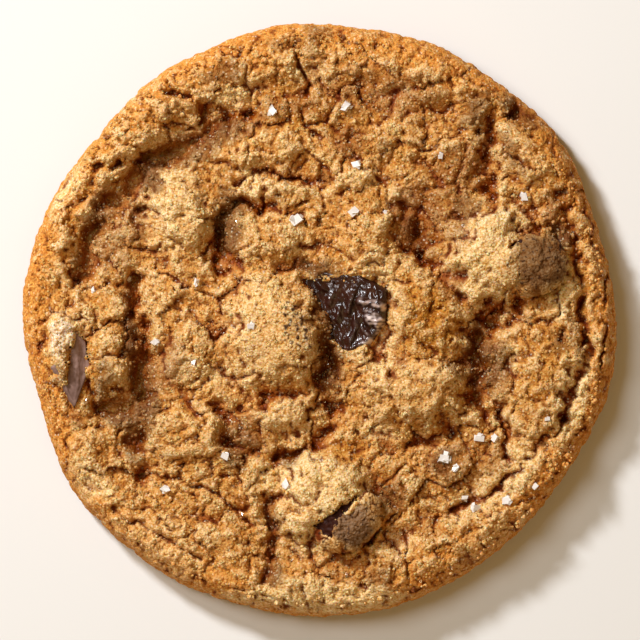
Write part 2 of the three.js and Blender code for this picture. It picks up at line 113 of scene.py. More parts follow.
# Cracks and valleys: half width, depth, and the points that each runs through.
CRACKS = [
    (0.8, 2.6, [(-33.4, 22.4), (-30.0, 23.4), (-26.0, 24.0), (-22.0, 26.0), (-18.4, 27.6)]),
    (1.0, 1.8, [(-22.4, 34.0), (-19.6, 32.6), (-17.6, 30.6)]),
    (0.8, 0.9, [(-33.4, 22.4), (-36.8, 17.0), (-37.2, 10.0), (-36.4, 5.0)]),
    (1.8, 2.6, [(-35.8, 7.0), (-34.6, 13.0), (-31.0, 18.8), (-26.6, 22.6),
                (-21.4, 25.4), (-15.4, 29.4), (-11.0, 31.0)]),
    (1.4, 1.5, [(17.6, 7.4), (20.4, 6.6), (21.6, 3.6)]),
    (1.3, 1.2, [(-27.2, 10.6), (-27.4, 14.0), (-26.2, 18.0)]),
    (1.7, 3.4, [(-28.2, 6.0), (-27.2, 0.0), (-26.8, -5.0), (-26.8, -10.4), (-32.2, -13.8)]),
    (1.7, 2.0, [(-26.8, -11.0), (-26.8, -17.0), (-26.6, -22.6)]),
    (1.4, 2.4, [(-8.6, 17.4), (-11.6, 17.6), (-13.8, 15.6), (-14.8, 11.6), (-14.2, 8.0)]),
    (0.4, 1.4, [(-11.0, 17.2), (-6.0, 16.4), (-2.2, 15.2)]),
    (0.4, 1.2, [(-13.0, 20.8), (-7.0, 22.0), (0.6, 21.0)]),
    (2.2, 2.2, [(13.8, 16.0), (14.4, 13.0), (14.2, 10.4)]),
    (1.2, 1.4, [(13.8, 10.4), (15.6, 8.6), (19.6, 8.0)]),
    (1.3, 2.4, [(29.6, 2.0), (26.0, -0.4), (24.0, -2.0)]),
    (2.0, 3.2, [(24.0, -1.0), (23.4, -6.0), (22.8, -10.4), (25.2, -13.6)]),
    (0.8, 1.9, [(36.4, 19.4), (37.9, 11.4), (39.2, 7.2), (39.5, 0.5), (40.2, -3.6), (36.4, -14.6)]),
    (0.3, 0.9, [(38.6, 19.6), (40.4, 15.2), (42.6, 8.1), (43.0, 0.5), (42.6, -7.0)]),
    (0.75, 1.2, [(36.4, -14.6), (30.8, -21.2), (26.0, -25.6), (20.0, -29.2)]),
    (1.7, 2.2, [(29.4, 31.6), (25.4, 28.4), (24.2, 24.0), (24.8, 19.6)]),
    (0.5, 1.2, [(-4.2, 40.6), (-2.0, 36.2), (-3.0, 31.4), (0.4, 27.0)]),
    (0.5, 1.3, [(26.8, -14.0), (28.2, -17.4), (28.0, -21.0)]),
    (1.5, 2.2, [(1.2, -3.4), (1.8, -6.2), (-0.4, -9.4), (2.4, -13.4)]),
    (0.8, 1.3, [(-12.0, -13.6), (-8.0, -11.8), (-4.0, -12.0), (0.0, -10.0)]),
    (0.45, 1.2, [(-23.6, -23.2), (-17.4, -25.4), (-13.2, -28.0), (-8.0, -31.8)]),
    (1.2, 1.6, [(-7.4, -27.0), (-7.4, -31.4), (-7.6, -38.6)]),
    (1.2, 1.8, [(-15.2, -13.4), (-14.4, -17.6), (-10.2, -20.2)]),
    (1.2, 1.2, [(9.8, -19.0), (14.6, -18.0), (19.8, -16.6)]),
    (1.2, 1.8, [(-6.4, -20.4), (-3.0, -19.6), (1.6, -16.4)]),
    (0.4, 1.0, [(-31.0, -28.0), (-25.4, -31.4), (-18.6, -36.0)]),
    (0.6, 1.6, [(10.2, -29.0), (8.8, -31.8), (6.6, -33.6), (3.4, -34.6)]),  # below the lower chip
    (0.6, 1.2, [(24.4, 1.6), (27.4, 2.4), (29.6, 4.0)]),  # under the bright mound
    (0.9, 1.6, [(34.6, 13.6), (36.6, 11.6), (37.8, 9.4)]),  # beside the right chip
    (0.35, 1.2, [(28.2, 10.2), (29.0, 10.9), (30.3, 11.4)]),  # at its upper edge
]

# How a crack's depth changes along its way: length of a stretch, middle, swing, limits, seed.
BROKEN_LENGTH, BROKEN_MIDDLE, BROKEN_SWING = 2.4, 0.9, 0.75
BROKEN_LEAST, BROKEN_MOST, BROKEN_SEED = 0.15, 1.3, 41

# The crust's pieces, from large to small: cell, height, crease, crease width, share on mounds, seed.
# The plates are those of the part's source, with finer creases.
PLATES = (5.6, 0.75, 0.6, 0.13, 0.5, 51)
CURDS = (2.2, 0.2, 0.8, 0.13, 0.3, 61)
EDGE_CRUMB = [(2.6, 0.4, 91), (1.3, 0.42, 93), (0.7, 0.22, 95)]  # cell, depth, seed
EDGE_LENGTH = 7.0  # from the top down over the edge to the waist
EDGE_SWELL = 0.15  # how far the crumb between the pocks stands out
PLATES_ON_RIM, PLATES_FADE = 0.4, (1.0, 9.0)  # share at the rim, and insets between which it grows
MOUND_FADE = (1.5, 4.0)  # swells between which the share on mounds sets in
PLATE_STEP, PLATE_TILT = 0.55, 0.9  # how uneven and how tilted neighbours are, in plate heights
MISSING, MISSING_DROP = 0.12, 1.2  # share of the curds that have crumbled away, and how deep
LUMP_LEAST, LUMP_SPREAD, LUMP_MARGIN = 0.55, 0.35, 0.15  # sizes and distance from a cell's edge
# Round crumb that covers everything: cell, height, share on mounds, seed.
ROUND_CRUMB = [(2.1, 0.62, 0.4, 67), (1.15, 0.56, 0.6, 71), (0.62, 0.33, 0.9, 81)]
LUMPS = (2.9, 0.45, 12)
UNEVEN_LENGTH, UNEVEN_HEIGHT, UNEVEN_SEED = 7.0, 0.6, 21

# How far noise pushes the edges of forms, from wide to fine: length, reach, seed.
WANDER = [(3.4, 1.1, 31), (1.2, 0.4, 33), (0.6, 0.16, 35)]
WINDOW_WANDER = 0.4  # share of that push at the edges of the bare chocolate
WINDOW_EDGE = 0.35
UNDER_CHIP = 0.3  # how far the dough lies below the face of a bare chocolate piece

# Chocolate pieces, as in the part's source. The windows in the dough are drawn a little finer here.
# A lean or a turn is in degrees, and floor is the least height of the dough in the window. The dust
# on a drop's film, whose colour holds painted shade too, spreads from a place over a radius.
CHUNK_CENTRE = {
    "node": "chip_centre",
    "at": (4.4, 0.9, 8.5),
    "corners": [
        (-8.4, 6.8), (1.6, 5.9), (5.7, 3.6), (5.4, -1.4), (3.0, -4.8), (-1.0, -6.2), (-5.6, -1.4),
    ],
    "lean": (4, -9),
    "thick": 5.0,
    "window": [
        (-2.7, 6.0), (1.6, 6.0), (7.1, 5.7), (9.3, 4.0), (9.9, 2.7), (8.9, -0.7),
        (6.8, -3.3), (4.1, -5.0), (2.8, -4.0), (1.6, -2.4), (1.1, 1.0), (-0.9, 3.7),
    ],
    "floor": 7.0,
}
CHUNK_LEFT = {
    "node": "chip_left",
    "at": (-37.2, -6.6, 8.9),
    "corners": [(-0.9, 6.6), (2.4, 3.4), (3.4, 0.0), (0.7, -6.6), (-2.9, -0.5)],
    "lean": (0, 22),
    "thick": 4.2,
    "window": [
        (-36.8, -1.6), (-35.3, -2.9), (-34.4, -6.6), (-35.5, -9.3), (-36.5, -12.2),
        (-37.4, -11.8), (-38.4, -8.3), (-37.6, -6.6), (-37.0, -4.1),
    ],
    "floor": 7.2,
}
DROP_LOWER = {
    "node": "chip_lower",
    "at": (4.2, -30.0, 8.3),
    "half": (5.3, 4.2, 3.2),
    "turn": 36,
    "dust_and_shade": (136, 106, 80),
    "dusty_from": (4.8, -30.6, 3.4),
    "window": [
        (5.4, -26.1), (3.0, -27.7), (0.8, -29.6), (-1.0, -30.8), (0.6, -31.8), (2.0, -32.8),
        (1.8, -31.3), (2.6, -29.8), (4.0, -28.1), (5.3, -26.7),
    ],
    "floor": 7.4,
}
DROP_RIGHT = {
    "node": "chip_right",
    "at": (32.2, 8.4, 9.2),
    "half": (4.7, 4.6, 3.3),
    "turn": 0,
    # This dust colour is darkened further by painted shade, for the shaded side of the mound.
    "dust_and_shade": (120, 86, 52),
    "dusty_from": (33.0, 8.4, 4.6),
    "window": [(28.6, 10.4), (29.4, 11.1), (30.4, 11.2), (30.3, 11.7), (29.1, 11.5), (28.3, 10.8)],
    "floor": 9.0,
}
CHIPS = [CHUNK_CENTRE, CHUNK_LEFT, DROP_LOWER, DROP_RIGHT]
FILM_DEPTH = 0.32  # thickness of the dough over a covered chip

# Folds of the melted chocolate in the middle: half width, height, and the points each runs through.
FOLD_HEIGHT = 1.25
FOLDS = [
    (0.7, 0.7, [(6.2, 2.9), (8.0, 2.6), (9.6, 1.9)]),
    (0.8, 0.8, [(7.4, 0.3), (9.0, -0.4), (9.7, -1.4)]),
    (0.9, 0.9, [(9.4, -1.8), (8.4, -3.2), (6.2, -4.1), (5.0, -4.6)]),
    (0.5, 0.5, [(6.6, 1.6), (8.6, 0.8)]),
    (0.45, 0.5, [(4.9, 3.9), (4.6, 2.6), (4.3, 1.2)]),
    (0.4, 0.45, [(2.0, 4.1), (1.3, 2.5)]),
    (0.4, 0.45, [(2.9, 1.8), (2.7, 0.1)]),
    (0.4, 0.4, [(-0.8, 6.4), (0.8, 4.5)]),
    (0.45, 0.5, [(5.6, 0.4), (5.2, -1.6), (4.4, -3.4)]),
    (0.4, 0.4, [(6.4, -1.2), (7.2, -2.4)]),
]

# Coarse salt on the top: x, y, length of the crystal.
SALT = [
    (-7.1, 31.2, 1.6),
    (3.9, 32.1, 1.7),
    (5.4, 23.3, 1.4),
    (-3.5, 15.0, 2.1),
    (5.0, 16.2, 1.4),
    (30.5, 18.4, 1.3),
    (-18.5, 5.6, 1.2),
    (-24.7, -3.3, 1.4),
    (-23.3, -25.2, 1.6),
    (-14.3, -20.3, 1.4),
    (-5.0, -24.6, 1.5),
    (23.8, -17.7, 1.5),
    (18.5, -20.7, 2.0),
    (23.3, -28.1, 1.7),
    (27.8, -27.1, 1.7),
    (9.8, 16.0, 0.9),
    (18.1, 24.6, 1.0),
    (-28.7, 6.3, 1.0),
    (-34.0, 4.5, 0.9),
    (-10.4, -0.9, 1.2),
    (-18.8, -6.2, 1.1),
    (20.3, -22.2, 1.3),
    (26.2, -17.7, 1.2),
    (34.0, -14.8, 0.9),
    (21.7, -26.6, 1.1),
    (32.2, -24.9, 0.9),
]

# Spots of colour on the dough: x, y, half length, half width, turn, strength.
CARAMEL_SPOTS = [  # wet brown hollows
    (-21.5, 25.4, 8.6, 2.6, 33, 0.8),
    (-12.0, 29.6, 5.0, 2.4, 15, 0.9),
    (-29.6, 18.0, 2.4, 5.0, -35, 0.8),
    (-31.6, 11.6, 2.2, 5.0, 0, 0.8),
    (4.0, 26.8, 3.6, 3.2, 0, 1.0),
    (-4.0, 32.0, 5.6, 2.2, 0, 0.7),
    (19.6, 4.4, 2.4, 3.0, 0, 0.8),
    (27.0, -8.4, 2.0, 4.4, 0, 0.6),
    (16.0, -31.0, 2.6, 2.0, 0, 0.5),
    (20.0, 13.6, 2.6, 4.4, 0, 0.6),
    (11.0, -25.6, 2.6, 2.4, 0, 0.7),
    (20.0, -20.0, 2.6, 2.4, 0, 0.6),
    (30.0, 0.4, 2.6, 1.6, 0, 0.6),
    (14.6, 15.0, 5.0, 6.6, 0, 1.0),
    (9.0, 34.0, 12.0, 4.4, -8, 0.7),
    (20.5, 22.0, 5.6, 4.6, 0, 0.8),
    (35.4, 17.0, 4.4, 2.2, 70, 0.9),
    (37.4, 13.2, 1.6, 2.8, 0, 1.0),
    (25.0, -4.4, 2.4, 8.4, 0, 1.0),
    (-26.6, -8.8, 3.0, 7.4, 0, 1.0),
    (-23.0, -6.8, 3.2, 5.0, 0, 0.7),
    (-11.9, -17.0, 4.6, 4.0, 0, 0.7),
    (-13.8, 14.0, 2.2, 6.0, 0, 0.8),
    (22.0, -21.5, 8.0, 4.0, 10, 0.5),
    (-31.0, 14.0, 5.0, 8.0, 0, 0.5),
    (1.4, -9.6, 2.4, 5.4, 0, 0.9),
    (3.0, -37.0, 5.0, 2.0, 0, 0.4),
    (-37.0, -14.6, 1.8, 2.4, 0, 0.7),
]
AMBER_SPOTS = [  # baked darker than the rest
    (-32.6, 28.4, 11.0, 2.6, 48, 0.7),
    (-32.8, -11.4, 1.8, 5.0, 0, 1.0),
    (16.4, 0.4, 6.4, 7.4, 0, 1.0),
    (3.4, -20.0, 4.0, 2.6, 0, 0.8),
    (17.0, 10.0, 4.0, 4.0, 0, 0.5),
    (14.0, -11.0, 7.5, 5.0, 6, 0.5),
    (-34.0, -2.0, 1.6, 5.0, 0, 0.6),
    (33.0, -7.0, 4.0, 8.0, -16, 0.5),
    (-36.4, 13.0, 2.0, 5.0, 0, 0.3),
    (0.0, 32.0, 12.0, 5.0, 0, 0.6),
]
PALE_AND_LIT_SPOTS = [  # pale floury mounds and ridges, and painted light on slopes turned away from the key light
    (-4.4, -16.0, 3.0, 2.0, 0, 0.6),
    (-2.4, -31.4, 3.4, 3.4, 0, 1.0),
    (9.4, 7.4, 1.6, 3.4, 0, 0.7),
    (38.0, -12.0, 2.0, 7.0, -14, 1.0),
    (-38.6, -0.4, 2.0, 3.0, 0, 0.7),
    (11.0, 33.0, 3.0, 2.0, 0, 0.5),
    (-13.0, 34.4, 3.2, 1.6, 20, 0.6),
    (7.0, -26.2, 2.6, 2.2, 40, 0.8),
    (1.2, -27.4, 3.6, 1.8, 34, 1.0),
    (-0.4, -33.4, 3.0, 1.6, 0, 0.7),
    # painted light on the south rim, whose slope faces away from the key light
    (0.0, -41.6, 16.0, 3.0, 0, 1.0),
    (-12.0, 34.2, 5.0, 2.0, 18, 0.7),
    (0.6, 36.2, 3.0, 3.0, 0, 0.7),
    (6.4, 21.4, 3.4, 2.4, 0, 0.7),
    (-3.6, 11.6, 2.6, 3.4, 0, 0.6),
    (9.6, -6.4, 2.6, 2.0, 0, 0.9),
    (8.6, 8.4, 2.0, 2.6, 0, 0.7),
    (-38.6, 21.0, 2.2, 6.4, -30, 1.0),
    (-30.4, 12.0, 1.4, 4.4, -12, 0.6),
    (-21.4, -6.0, 2.4, 3.4, 0, 0.7),
    (-8.2, -23.4, 1.6, 2.4, 0, 0.8),
    (4.6, -26.0, 2.4, 2.0, 0, 0.7),
    (12.4, -33.6, 2.6, 2.0, 0, 0.8),
    (-36.4, -1.4, 1.4, 3.4, 0, 0.8),
    (-35.0, -23.0, 2.6, 4.0, 30, 0.6),
    (-12.8, 18.6, 1.6, 1.6, 0, 0.6),
    (11.4, 18.0, 1.8, 3.0, 0, 0.7),
    (-14.0, -8.0, 7.0, 2.4, 10, 0.6),
    (27.6, -23.4, 8.0, 3.6, 42, 0.9),
    (37.0, 7.0, 1.4, 2.4, 0, 0.8),
    (8.6, -14.6, 2.0, 4.0, 0, 0.6),
    (-24.0, -34.0, 10.0, 3.6, -38, 0.4),
    (26.0, -34.0, 9.0, 3.4, 38, 0.4),
    (-32.0, 30.0, 11.0, 2.6, 47, 0.4),
    (-4.0, -40.2, 8.0, 2.0, 0, 0.4),
    (37.6, -12.0, 2.4, 9.0, -14, 0.9),
    (9.8, -4.0, 1.8, 3.2, 0, 0.9),
    (12.6, 18.0, 2.4, 2.2, 0, 0.9),
    (10.6, 34.0, 3.8, 1.8, 0, 0.9),
    (-2.8, 36.0, 2.0, 2.6, 0, 0.9),
    (37.2, 7.4, 1.6, 2.8, 0, 0.9),
    (28.0, -6.0, 2.2, 2.8, 0, 1.0),
    (22.0, -27.4, 4.4, 2.0, 45, 1.0),
    (5.8, -24.4, 2.6, 2.0, 0, 0.9),
    (-2.6, -33.2, 2.2, 2.6, 0, 1.0),
    (8.4, -16.6, 3.0, 2.0, 0, 0.9),
    (-20.8, -7.0, 2.4, 2.2, 0, 0.9),
    (-34.4, -1.0, 2.2, 3.0, 0, 0.8),
    (-10.6, 21.0, 3.4, 2.0, -40, 0.8),
    (-18.4, 17.0, 2.0, 3.0, 0, 0.6),
    (-22.4, 11.6, 3.0, 1.8, 20, 0.6),
    (-34.0, -24.2, 3.8, 2.4, -40, 0.9),
    (-37.6, 19.6, 1.8, 4.0, -20, 0.4),
    (28.0, 14.0, 3.4, 3.0, 30, 1.0),
    (26.0, 3.6, 3.0, 1.8, 20, 0.8),
    (11.6, 2.4, 1.8, 6.0, 0, 0.7),
    (9.6, -8.0, 3.4, 4.0, 0, 0.6),
    (35.6, 3.6, 2.0, 4.6, 0, 1.0),
    (23.2, 10.0, 6.2, 7.8, 8, 1.0),
    (-0.8, -23.8, 6.6, 6.0, 0, 1.0),
    (-8.4, -0.6, 7.0, 9.0, 0, 0.6),
    (-22.4, 16.8, 5.4, 7.2, 0, 0.6),
    (13.4, -9.6, 7.4, 4.6, 6, 0.7),
    (-38.8, -3.6, 1.4, 3.6, 0, 0.9),
]
PAINTED_SHADE_SPOTS = [  # painted shade, in deep creases and on slopes that lie in shadow
    (-12.6, 16.2, 2.4, 1.6, 0, 0.7),
    (-27.4, -15.0, 2.0, 5.4, 0, 0.8),
    (25.6, -7.0, 1.5, 5.0, 0, 0.7),
    (23.6, -5.6, 2.0, 6.4, 0, 1.0),
    (-28.6, -1.6, 1.4, 7.0, 4, 1.0),
    (-27.2, -9.6, 2.2, 4.4, 0, 1.0),
    (-27.8, -18.0, 1.8, 4.4, 0, 0.6),
    (1.0, -5.4, 1.7, 6.0, 0, 1.0),
    (0.2, 1.2, 1.3, 4.4, 24, 0.9),
    (-13.8, 13.6, 1.6, 4.4, 0, 0.8),
    (14.2, 13.2, 2.0, 3.2, 0, 0.8),
    (36.0, 12.6, 1.8, 2.0, 30, 1.0),
    (27.2, -6.4, 1.4, 3.0, 0, 0.5),
    (18.2, -20.4, 2.0, 1.6, 0, 0.6),
    (-35.6, 8.4, 1.8, 3.6, -6, 0.7),
    (-24.4, 24.0, 6.4, 1.8, 32, 0.9),
    (-0.6, 7.8, 2.8, 1.5, -30, 1.0),
    (2.0, -6.0, 2.0, 2.4, 0, 0.8),
    (-25.2, 20.8, 2.4, 1.8, 0, 0.9),
    (21.6, 17.0, 2.8, 2.0, 0, 0.7),
    (23.0, 31.0, 2.4, 1.8, 0, 0.8),
    (18.4, -20.8, 2.0, 2.2, 0, 0.9),
    (-30.6, -13.8, 3.6, 2.6, 20, 1.0),
    (-25.4, -14.0, 1.8, 3.6, 0, 0.9),
    (-27.0, -7.0, 1.6, 5.0, 0, 0.8),
    (-12.4, -21.0, 2.0, 2.0, 0, 0.8),
    (-6.6, -30.0, 1.4, 2.4, 0, 0.8),
    (-6.4, -37.8, 1.6, 2.0, 0, 0.8),
    (-14.6, 37.0, 3.4, 1.8, 20, 0.7),
    (20.0, -7.0, 2.4, 1.6, 0, 0.6),
    (9.4, 25.4, 1.6, 2.0, 0, 0.5),
    (0.0, 43.0, 3.0, 1.2, 0, 0.6),
    (0.4, 21.4, 1.8, 1.6, 0, 0.5),
    (10.4, -26.6, 2.0, 2.0, 0, 0.6),
    (-33.2, 15.6, 2.2, 5.6, -24, 0.8),
    (-27.0, 14.6, 1.6, 3.6, 0, 0.6),
    (-18.4, 24.6, 3.4, 2.0, 30, 0.7),
    (-31.4, -13.6, 2.4, 1.8, 0, 0.9),
    (-25.4, -13.0, 1.8, 2.6, 0, 0.7),
    (28.6, 25.4, 1.6, 3.6, 30, 0.6),
    (35.6, -3.0, 1.6, 1.8, 0, 0.7),
    (-4.4, -21.0, 1.6, 1.6, 0, 0.7),
    (-7.0, -30.0, 1.6, 2.6, 0, 0.8),
    (-15.6, 27.6, 5.4, 2.0, 24, 0.8),
    (24.0, 32.6, 2.6, 2.0, 0, 0.7),
    (-32.4, -9.0, 1.4, 5.4, 0, 0.6),
    (9.0, -38.4, 2.4, 1.8, 0, 0.6),
    (-7.4, -35.0, 1.4, 3.6, 0, 0.5),
    (38.4, -3.0, 1.2, 4.6, 8, 0.5),
    (-5.0, 41.4, 6.0, 1.4, 0, 0.4),
    (24.4, 28.0, 1.8, 5.4, 0, 0.5),
    (-12.0, -17.4, 3.4, 2.6, -40, 0.5),
    (29.6, 31.2, 4.4, 2.2, -45, 0.8),
    (-7.4, -29.4, 1.2, 3.6, 0, 0.6),
]
GREY_SPOTS = [  # chocolate just under the crust
    (32.4, 8.0, 4.6, 5.0, 0, 1.0),
    (34.6, 11.4, 2.4, 2.0, 0, 0.8),
    (8.2, -27.6, 3.0, 1.8, 32, 0.7),
    (-13.4, 15.4, 2.8, 4.6, 10, 0.9),
    (-2.0, -1.4, 2.6, 4.4, 20, 0.45),
    (0.0, 7.6, 4.6, 2.0, -10, 0.8),
    (-39.4, -7.6, 0.8, 1.8, 0, 0.9),
]
BLOOM_SPOTS = [(-38.6, -3.0, 1.9, 3.4, 0, 1.0)]  # whitish patch at the left chip
SPECK_SPOTS = [  # where dark specks gather
    (-4.0, -0.6, 2.0, 4.2, 12, 1.0),
    (-2.4, -3.0, 1.4, 1.6, 0, 1.0),
    (-14.6, 15.0, 1.6, 3.6, 10, 0.8),
    (31.6, 8.8, 3.4, 3.8, 0, 0.5),
    (35.2, 11.6, 1.8, 1.6, 0, 0.9),
]

# Colours of the dough and its crumbs: red, green and blue from 0 to 255.
CRUST, CRUST_LIGHT = (202, 143, 68), (226, 172, 100)
BITS_LIGHT, BITS_BROWN = (236, 206, 150), (176, 108, 36)
RIM_TAN, EDGE_TAN = (222, 156, 74), (214, 146, 66)
# The first of these is a floury pale that also holds painted light; the last is painted light on
# raised places.
PALE_AND_LIT, AMBER, CREST_PAINTED_LIGHT = (242, 210, 154), (200, 140, 54), (236, 210, 162)
# The last three of these are painted shade in hollows and creases.
CARAMEL, VALLEY_SHADE, HOLLOW_SHADE, CREASE_SHADE = (146, 82, 10), (156, 76, 2), (152, 74, 2), (110, 42, 0)
# The first of these is painted shade.
PAINTED_SHADE, GREY, BLOOM = (98, 50, 8), (138, 100, 58), (238, 216, 190)
SPECK, UNDERSIDE = (60, 26, 10), (164, 104, 50)
CRUMB_LIGHT, EDGE_CRUMB_LIGHT, CHOCOLATE_CRUMB = (242, 204, 146), (240, 208, 160), (50, 26, 16)
FILM_THICK, FILM_SPECK = (196, 156, 108), (60, 32, 18)

# Widths, in millimetres, of the surroundings below which a place is said to be sunk.
SUNK_WIDTHS = {"wide": 2.6, "middle": 1.1, "close": 0.45}

# Places drawn at random for loose crumbs and sugar grains, of which a part is kept.
CRUMBS_DRAWN, SUGAR_DRAWN = 13500, 7000
CRUMB_SIZES, EDGE_CRUMB_SIZES, SUGAR_SIZES = (0.3, 1.0), (0.22, 0.7), (0.16, 0.4)
EDGE_CRUMBS_PER_MM = 5
SEED = 7


def chance(i, j, seed):
    """A number from 0 to 1 that depends only on two whole numbers and a seed."""
    cut = np.uint64(0xFFFFFFFF)
    i = i.astype(np.int64).astype(np.uint64) & cut
    j = j.astype(np.int64).astype(np.uint64) & cut
    h = (i * np.uint64(374761393) & cut) ^ (j * np.uint64(668265263) & cut)
    h ^= np.uint64(seed * 1442695041 & 0xFFFFFFFF)
    h = (h ^ (h >> np.uint64(13))) * np.uint64(1274126177) & cut
    h = (h ^ (h >> np.uint64(15))) * np.uint64(1911520717) & cut
    return (h ^ (h >> np.uint64(16))).astype(float) / 4294967296


def noise(x, y, seed):
    """Smooth noise from about -1 to 1 that changes over one unit."""
    i, j = np.floor(x), np.floor(y)
    u, v = x - i, y - j

    def slope(di, dj):
        angle = 2 * np.pi * chance(i + di, j + dj, seed)
        return np.cos(angle) * (u - di) + np.sin(angle) * (v - dj)

    def ease(t):
        return t * t * t * (t * (6 * t - 15) + 10)

    low = slope(0, 0) + (slope(1, 0) - slope(0, 0)) * ease(u)
    high = slope(0, 1) + (slope(1, 1) - slope(0, 1)) * ease(u)
    full_range = 1.5
    return full_range * (low + (high - low) * ease(v))


def near_cells(x, y):
    """The square cell of each point and its eight neighbours, as columns and rows."""
    i, j = np.floor(x), np.floor(y)
    return [(i + di, j + dj) for di in (-1, 0, 1) for dj in (-1, 0, 1)]


def lumps(x, y, seed):
    """Round lumps, one in each cell: 0 in the creases, up to 1 on top."""
    top = np.zeros_like(x)
    room = 1 - 2 * LUMP_MARGIN
    for a, b in near_cells(x, y):
        size = LUMP_LEAST + LUMP_SPREAD * chance(a, b, seed + 200)
        dx = x - a - LUMP_MARGIN - room * chance(a, b, seed)
        dy = y - b - LUMP_MARGIN - room * chance(a, b, seed + 100)
        away = np.hypot(dx, dy) / size
        top = np.maximum(top, size * np.sqrt(np.maximum(0, 1 - away**2)))
    return top / (LUMP_LEAST + LUMP_SPREAD)


def plates(x, y, crease, crease_width, seed, missing):
    """Flat pieces of uneven height and tilt, round each cell's own point, creased where they meet."""
    nearest = np.full_like(x, np.inf)
    second = np.full_like(x, np.inf)
    height = np.zeros_like(x)
    for a, b in near_cells(x, y):
        dx = x - a - chance(a, b, seed)
        dy = y - b - chance(a, b, seed + 100)
        away = np.hypot(dx, dy)
        second = np.minimum(second, np.maximum(away, nearest))
        lean = 2 * np.pi * chance(a, b, seed + 300)
        level = 2 * chance(a, b, seed + 200) - 1
        own = PLATE_STEP * level + PLATE_TILT * (np.cos(lean) * dx + np.sin(lean) * dy)
        own = own - MISSING_DROP * (chance(a, b, seed + 400) < missing)
        height = np.where(away < nearest, own, height)
        nearest = np.minimum(nearest, away)
    return height - crease * bell(second - nearest, crease_width)


def bell(away, width):
    return np.exp(-((away / width) ** 2))


def smoothstep(value, low, high):
    t = np.clip((value - low) / (high - low), 0, 1)
    return t * t * (3 - 2 * t)


def ellipse_share(x, y, cx, cy, half_length, half_width, turn):
    """How far a point is from the middle of an ellipse, as a share of the way to its edge."""
    c, s = math.cos(math.radians(turn)), math.sin(math.radians(turn))
    along = (x - cx) * c + (y - cy) * s
    across = (y - cy) * c - (x - cx) * s
    return np.hypot(along / half_length, across / half_width)


def line_distance(x, y, points):
    least = np.full_like(x, np.inf)
    for (ax, ay), (bx, by) in zip(points, points[1:]):
        dx, dy = bx - ax, by - ay
        t = np.clip(((x - ax) * dx + (y - ay) * dy) / (dx * dx + dy * dy), 0, 1)
        least = np.minimum(least, np.hypot(x - ax - t * dx, y - ay - t * dy))
    return least


def outside_by(x, y, outline):
    """How far a point lies outside a closed outline; negative inside it."""
    inside = np.zeros(x.shape, bool)
    for (ax, ay), (bx, by) in zip(outline, outline[1:] + outline[:1]):
        if ay != by:
            inside ^= ((ay > y) != (by > y)) & (x < ax + (bx - ax) * (y - ay) / (by - ay))
    away = line_distance(x, y, outline + outline[:1])
    return np.where(inside, -away, away)


def outline_radius(angle):
    waves = [height * np.cos(n * (angle - math.radians(crest))) for n, height, crest in OUTLINE_WAVES]
    return MEAN_RADIUS + sum(waves)


def inset_of(x, y):
    return outline_radius(np.arctan2(y, x)) - np.hypot(x, y)


def wandered(x, y):
    """The point, pushed about by noise, so that the edges of forms are ragged."""
    across = sum(reach * noise(x / length, y / length, seed) for length, reach, seed in WANDER)
    along = sum(reach * noise(x / length, y / length, seed + 1) for length, reach, seed in WANDER)
    return x + across, y + along


def chip_turn(chip):
    """How a chocolate piece is turned, as a matrix."""
    if "half" in chip:
        return np.array(Euler((0, 0, math.radians(chip["turn"]))).to_matrix())
    lean_x, lean_y = (math.radians(angle) for angle in chip["lean"])
    return np.array(Euler((0, lean_y, 0)).to_matrix() @ Euler((lean_x, 0, 0)).to_matrix())


def chip_face(chip, x, y):
    """Height of the upper face of a chocolate piece."""
    cx, cy, cz = chip["at"]
    if "half" in chip:
        share = ellipse_share(x, y, cx, cy, *chip["half"][:2], chip["turn"])
        return cz + chip["half"][2] * np.sqrt(np.maximum(0, 1 - share**2))
    across, along, up = chip_turn(chip)[:, 2]
    return cz - (across * (x - cx) + along * (y - cy)) / up


def crumble(x, y, swell, off_rim):
    """Relief of the crust: plates, curds and round crumb, less of each on the mounds."""
    wx, wy = wandered(x, y)
    on_mound = smoothstep(swell, *MOUND_FADE)
    ragged = 0.85 + 0.35 * noise(x / 6.0, y / 6.0, 91)
    past_rim = PLATES_ON_RIM + (1 - PLATES_ON_RIM) * off_rim
    total = 0
    for layer, kept, missing in ((PLATES, past_rim, 0), (CURDS, ragged, MISSING)):
        cell, height, crease, crease_width, mound_share, seed = layer
        share = (1 - (1 - mound_share) * on_mound) * kept
        relief = plates(wx / cell, wy / cell, crease, crease_width, seed, missing)
        total = total + share * height * relief
    for cell, height, mound_share, seed in ROUND_CRUMB:
        share = 1 - (1 - mound_share) * on_mound
        total = total + share * height * (lumps(wx / cell, wy / cell, seed) - 0.5)
    return total


def mound_swell(wx, wy):
    """How much the mounds add to the height."""
    swell = 0
    for *ellipse, height in MOUNDS:
        share = ellipse_share(wx, wy, *ellipse)
        swell = swell + height * (1 - smoothstep(share, MOUND_TOP, MOUND_FOOT))
    return swell


def cracked(z, x, y, wx, wy):
    """The height z with the cracks and valleys cut into it."""
    stretches = noise(x / BROKEN_LENGTH, y / BROKEN_LENGTH, BROKEN_SEED)
    broken = np.clip(BROKEN_MIDDLE + BROKEN_SWING * stretches, BROKEN_LEAST, BROKEN_MOST)
    for width, depth, points in CRACKS:
        z = z - depth * broken * bell(line_distance(wx, wy, points), width)
    return z


def opened(z, x, y, wx, wy):
    """The height z, cut down to just under the chocolate pieces where these are bare."""
    for chip in CHIPS:
        out = outside_by(x + WINDOW_WANDER * (wx - x), y + WINDOW_WANDER * (wy - y), chip["window"])
        bare = 1 - smoothstep(out, -WINDOW_EDGE, WINDOW_EDGE)
        floor = np.maximum(chip["floor"], chip_face(chip, x, y) - UNDER_CHIP)
        z = z + (np.minimum(z, floor) - z) * bare
    return z


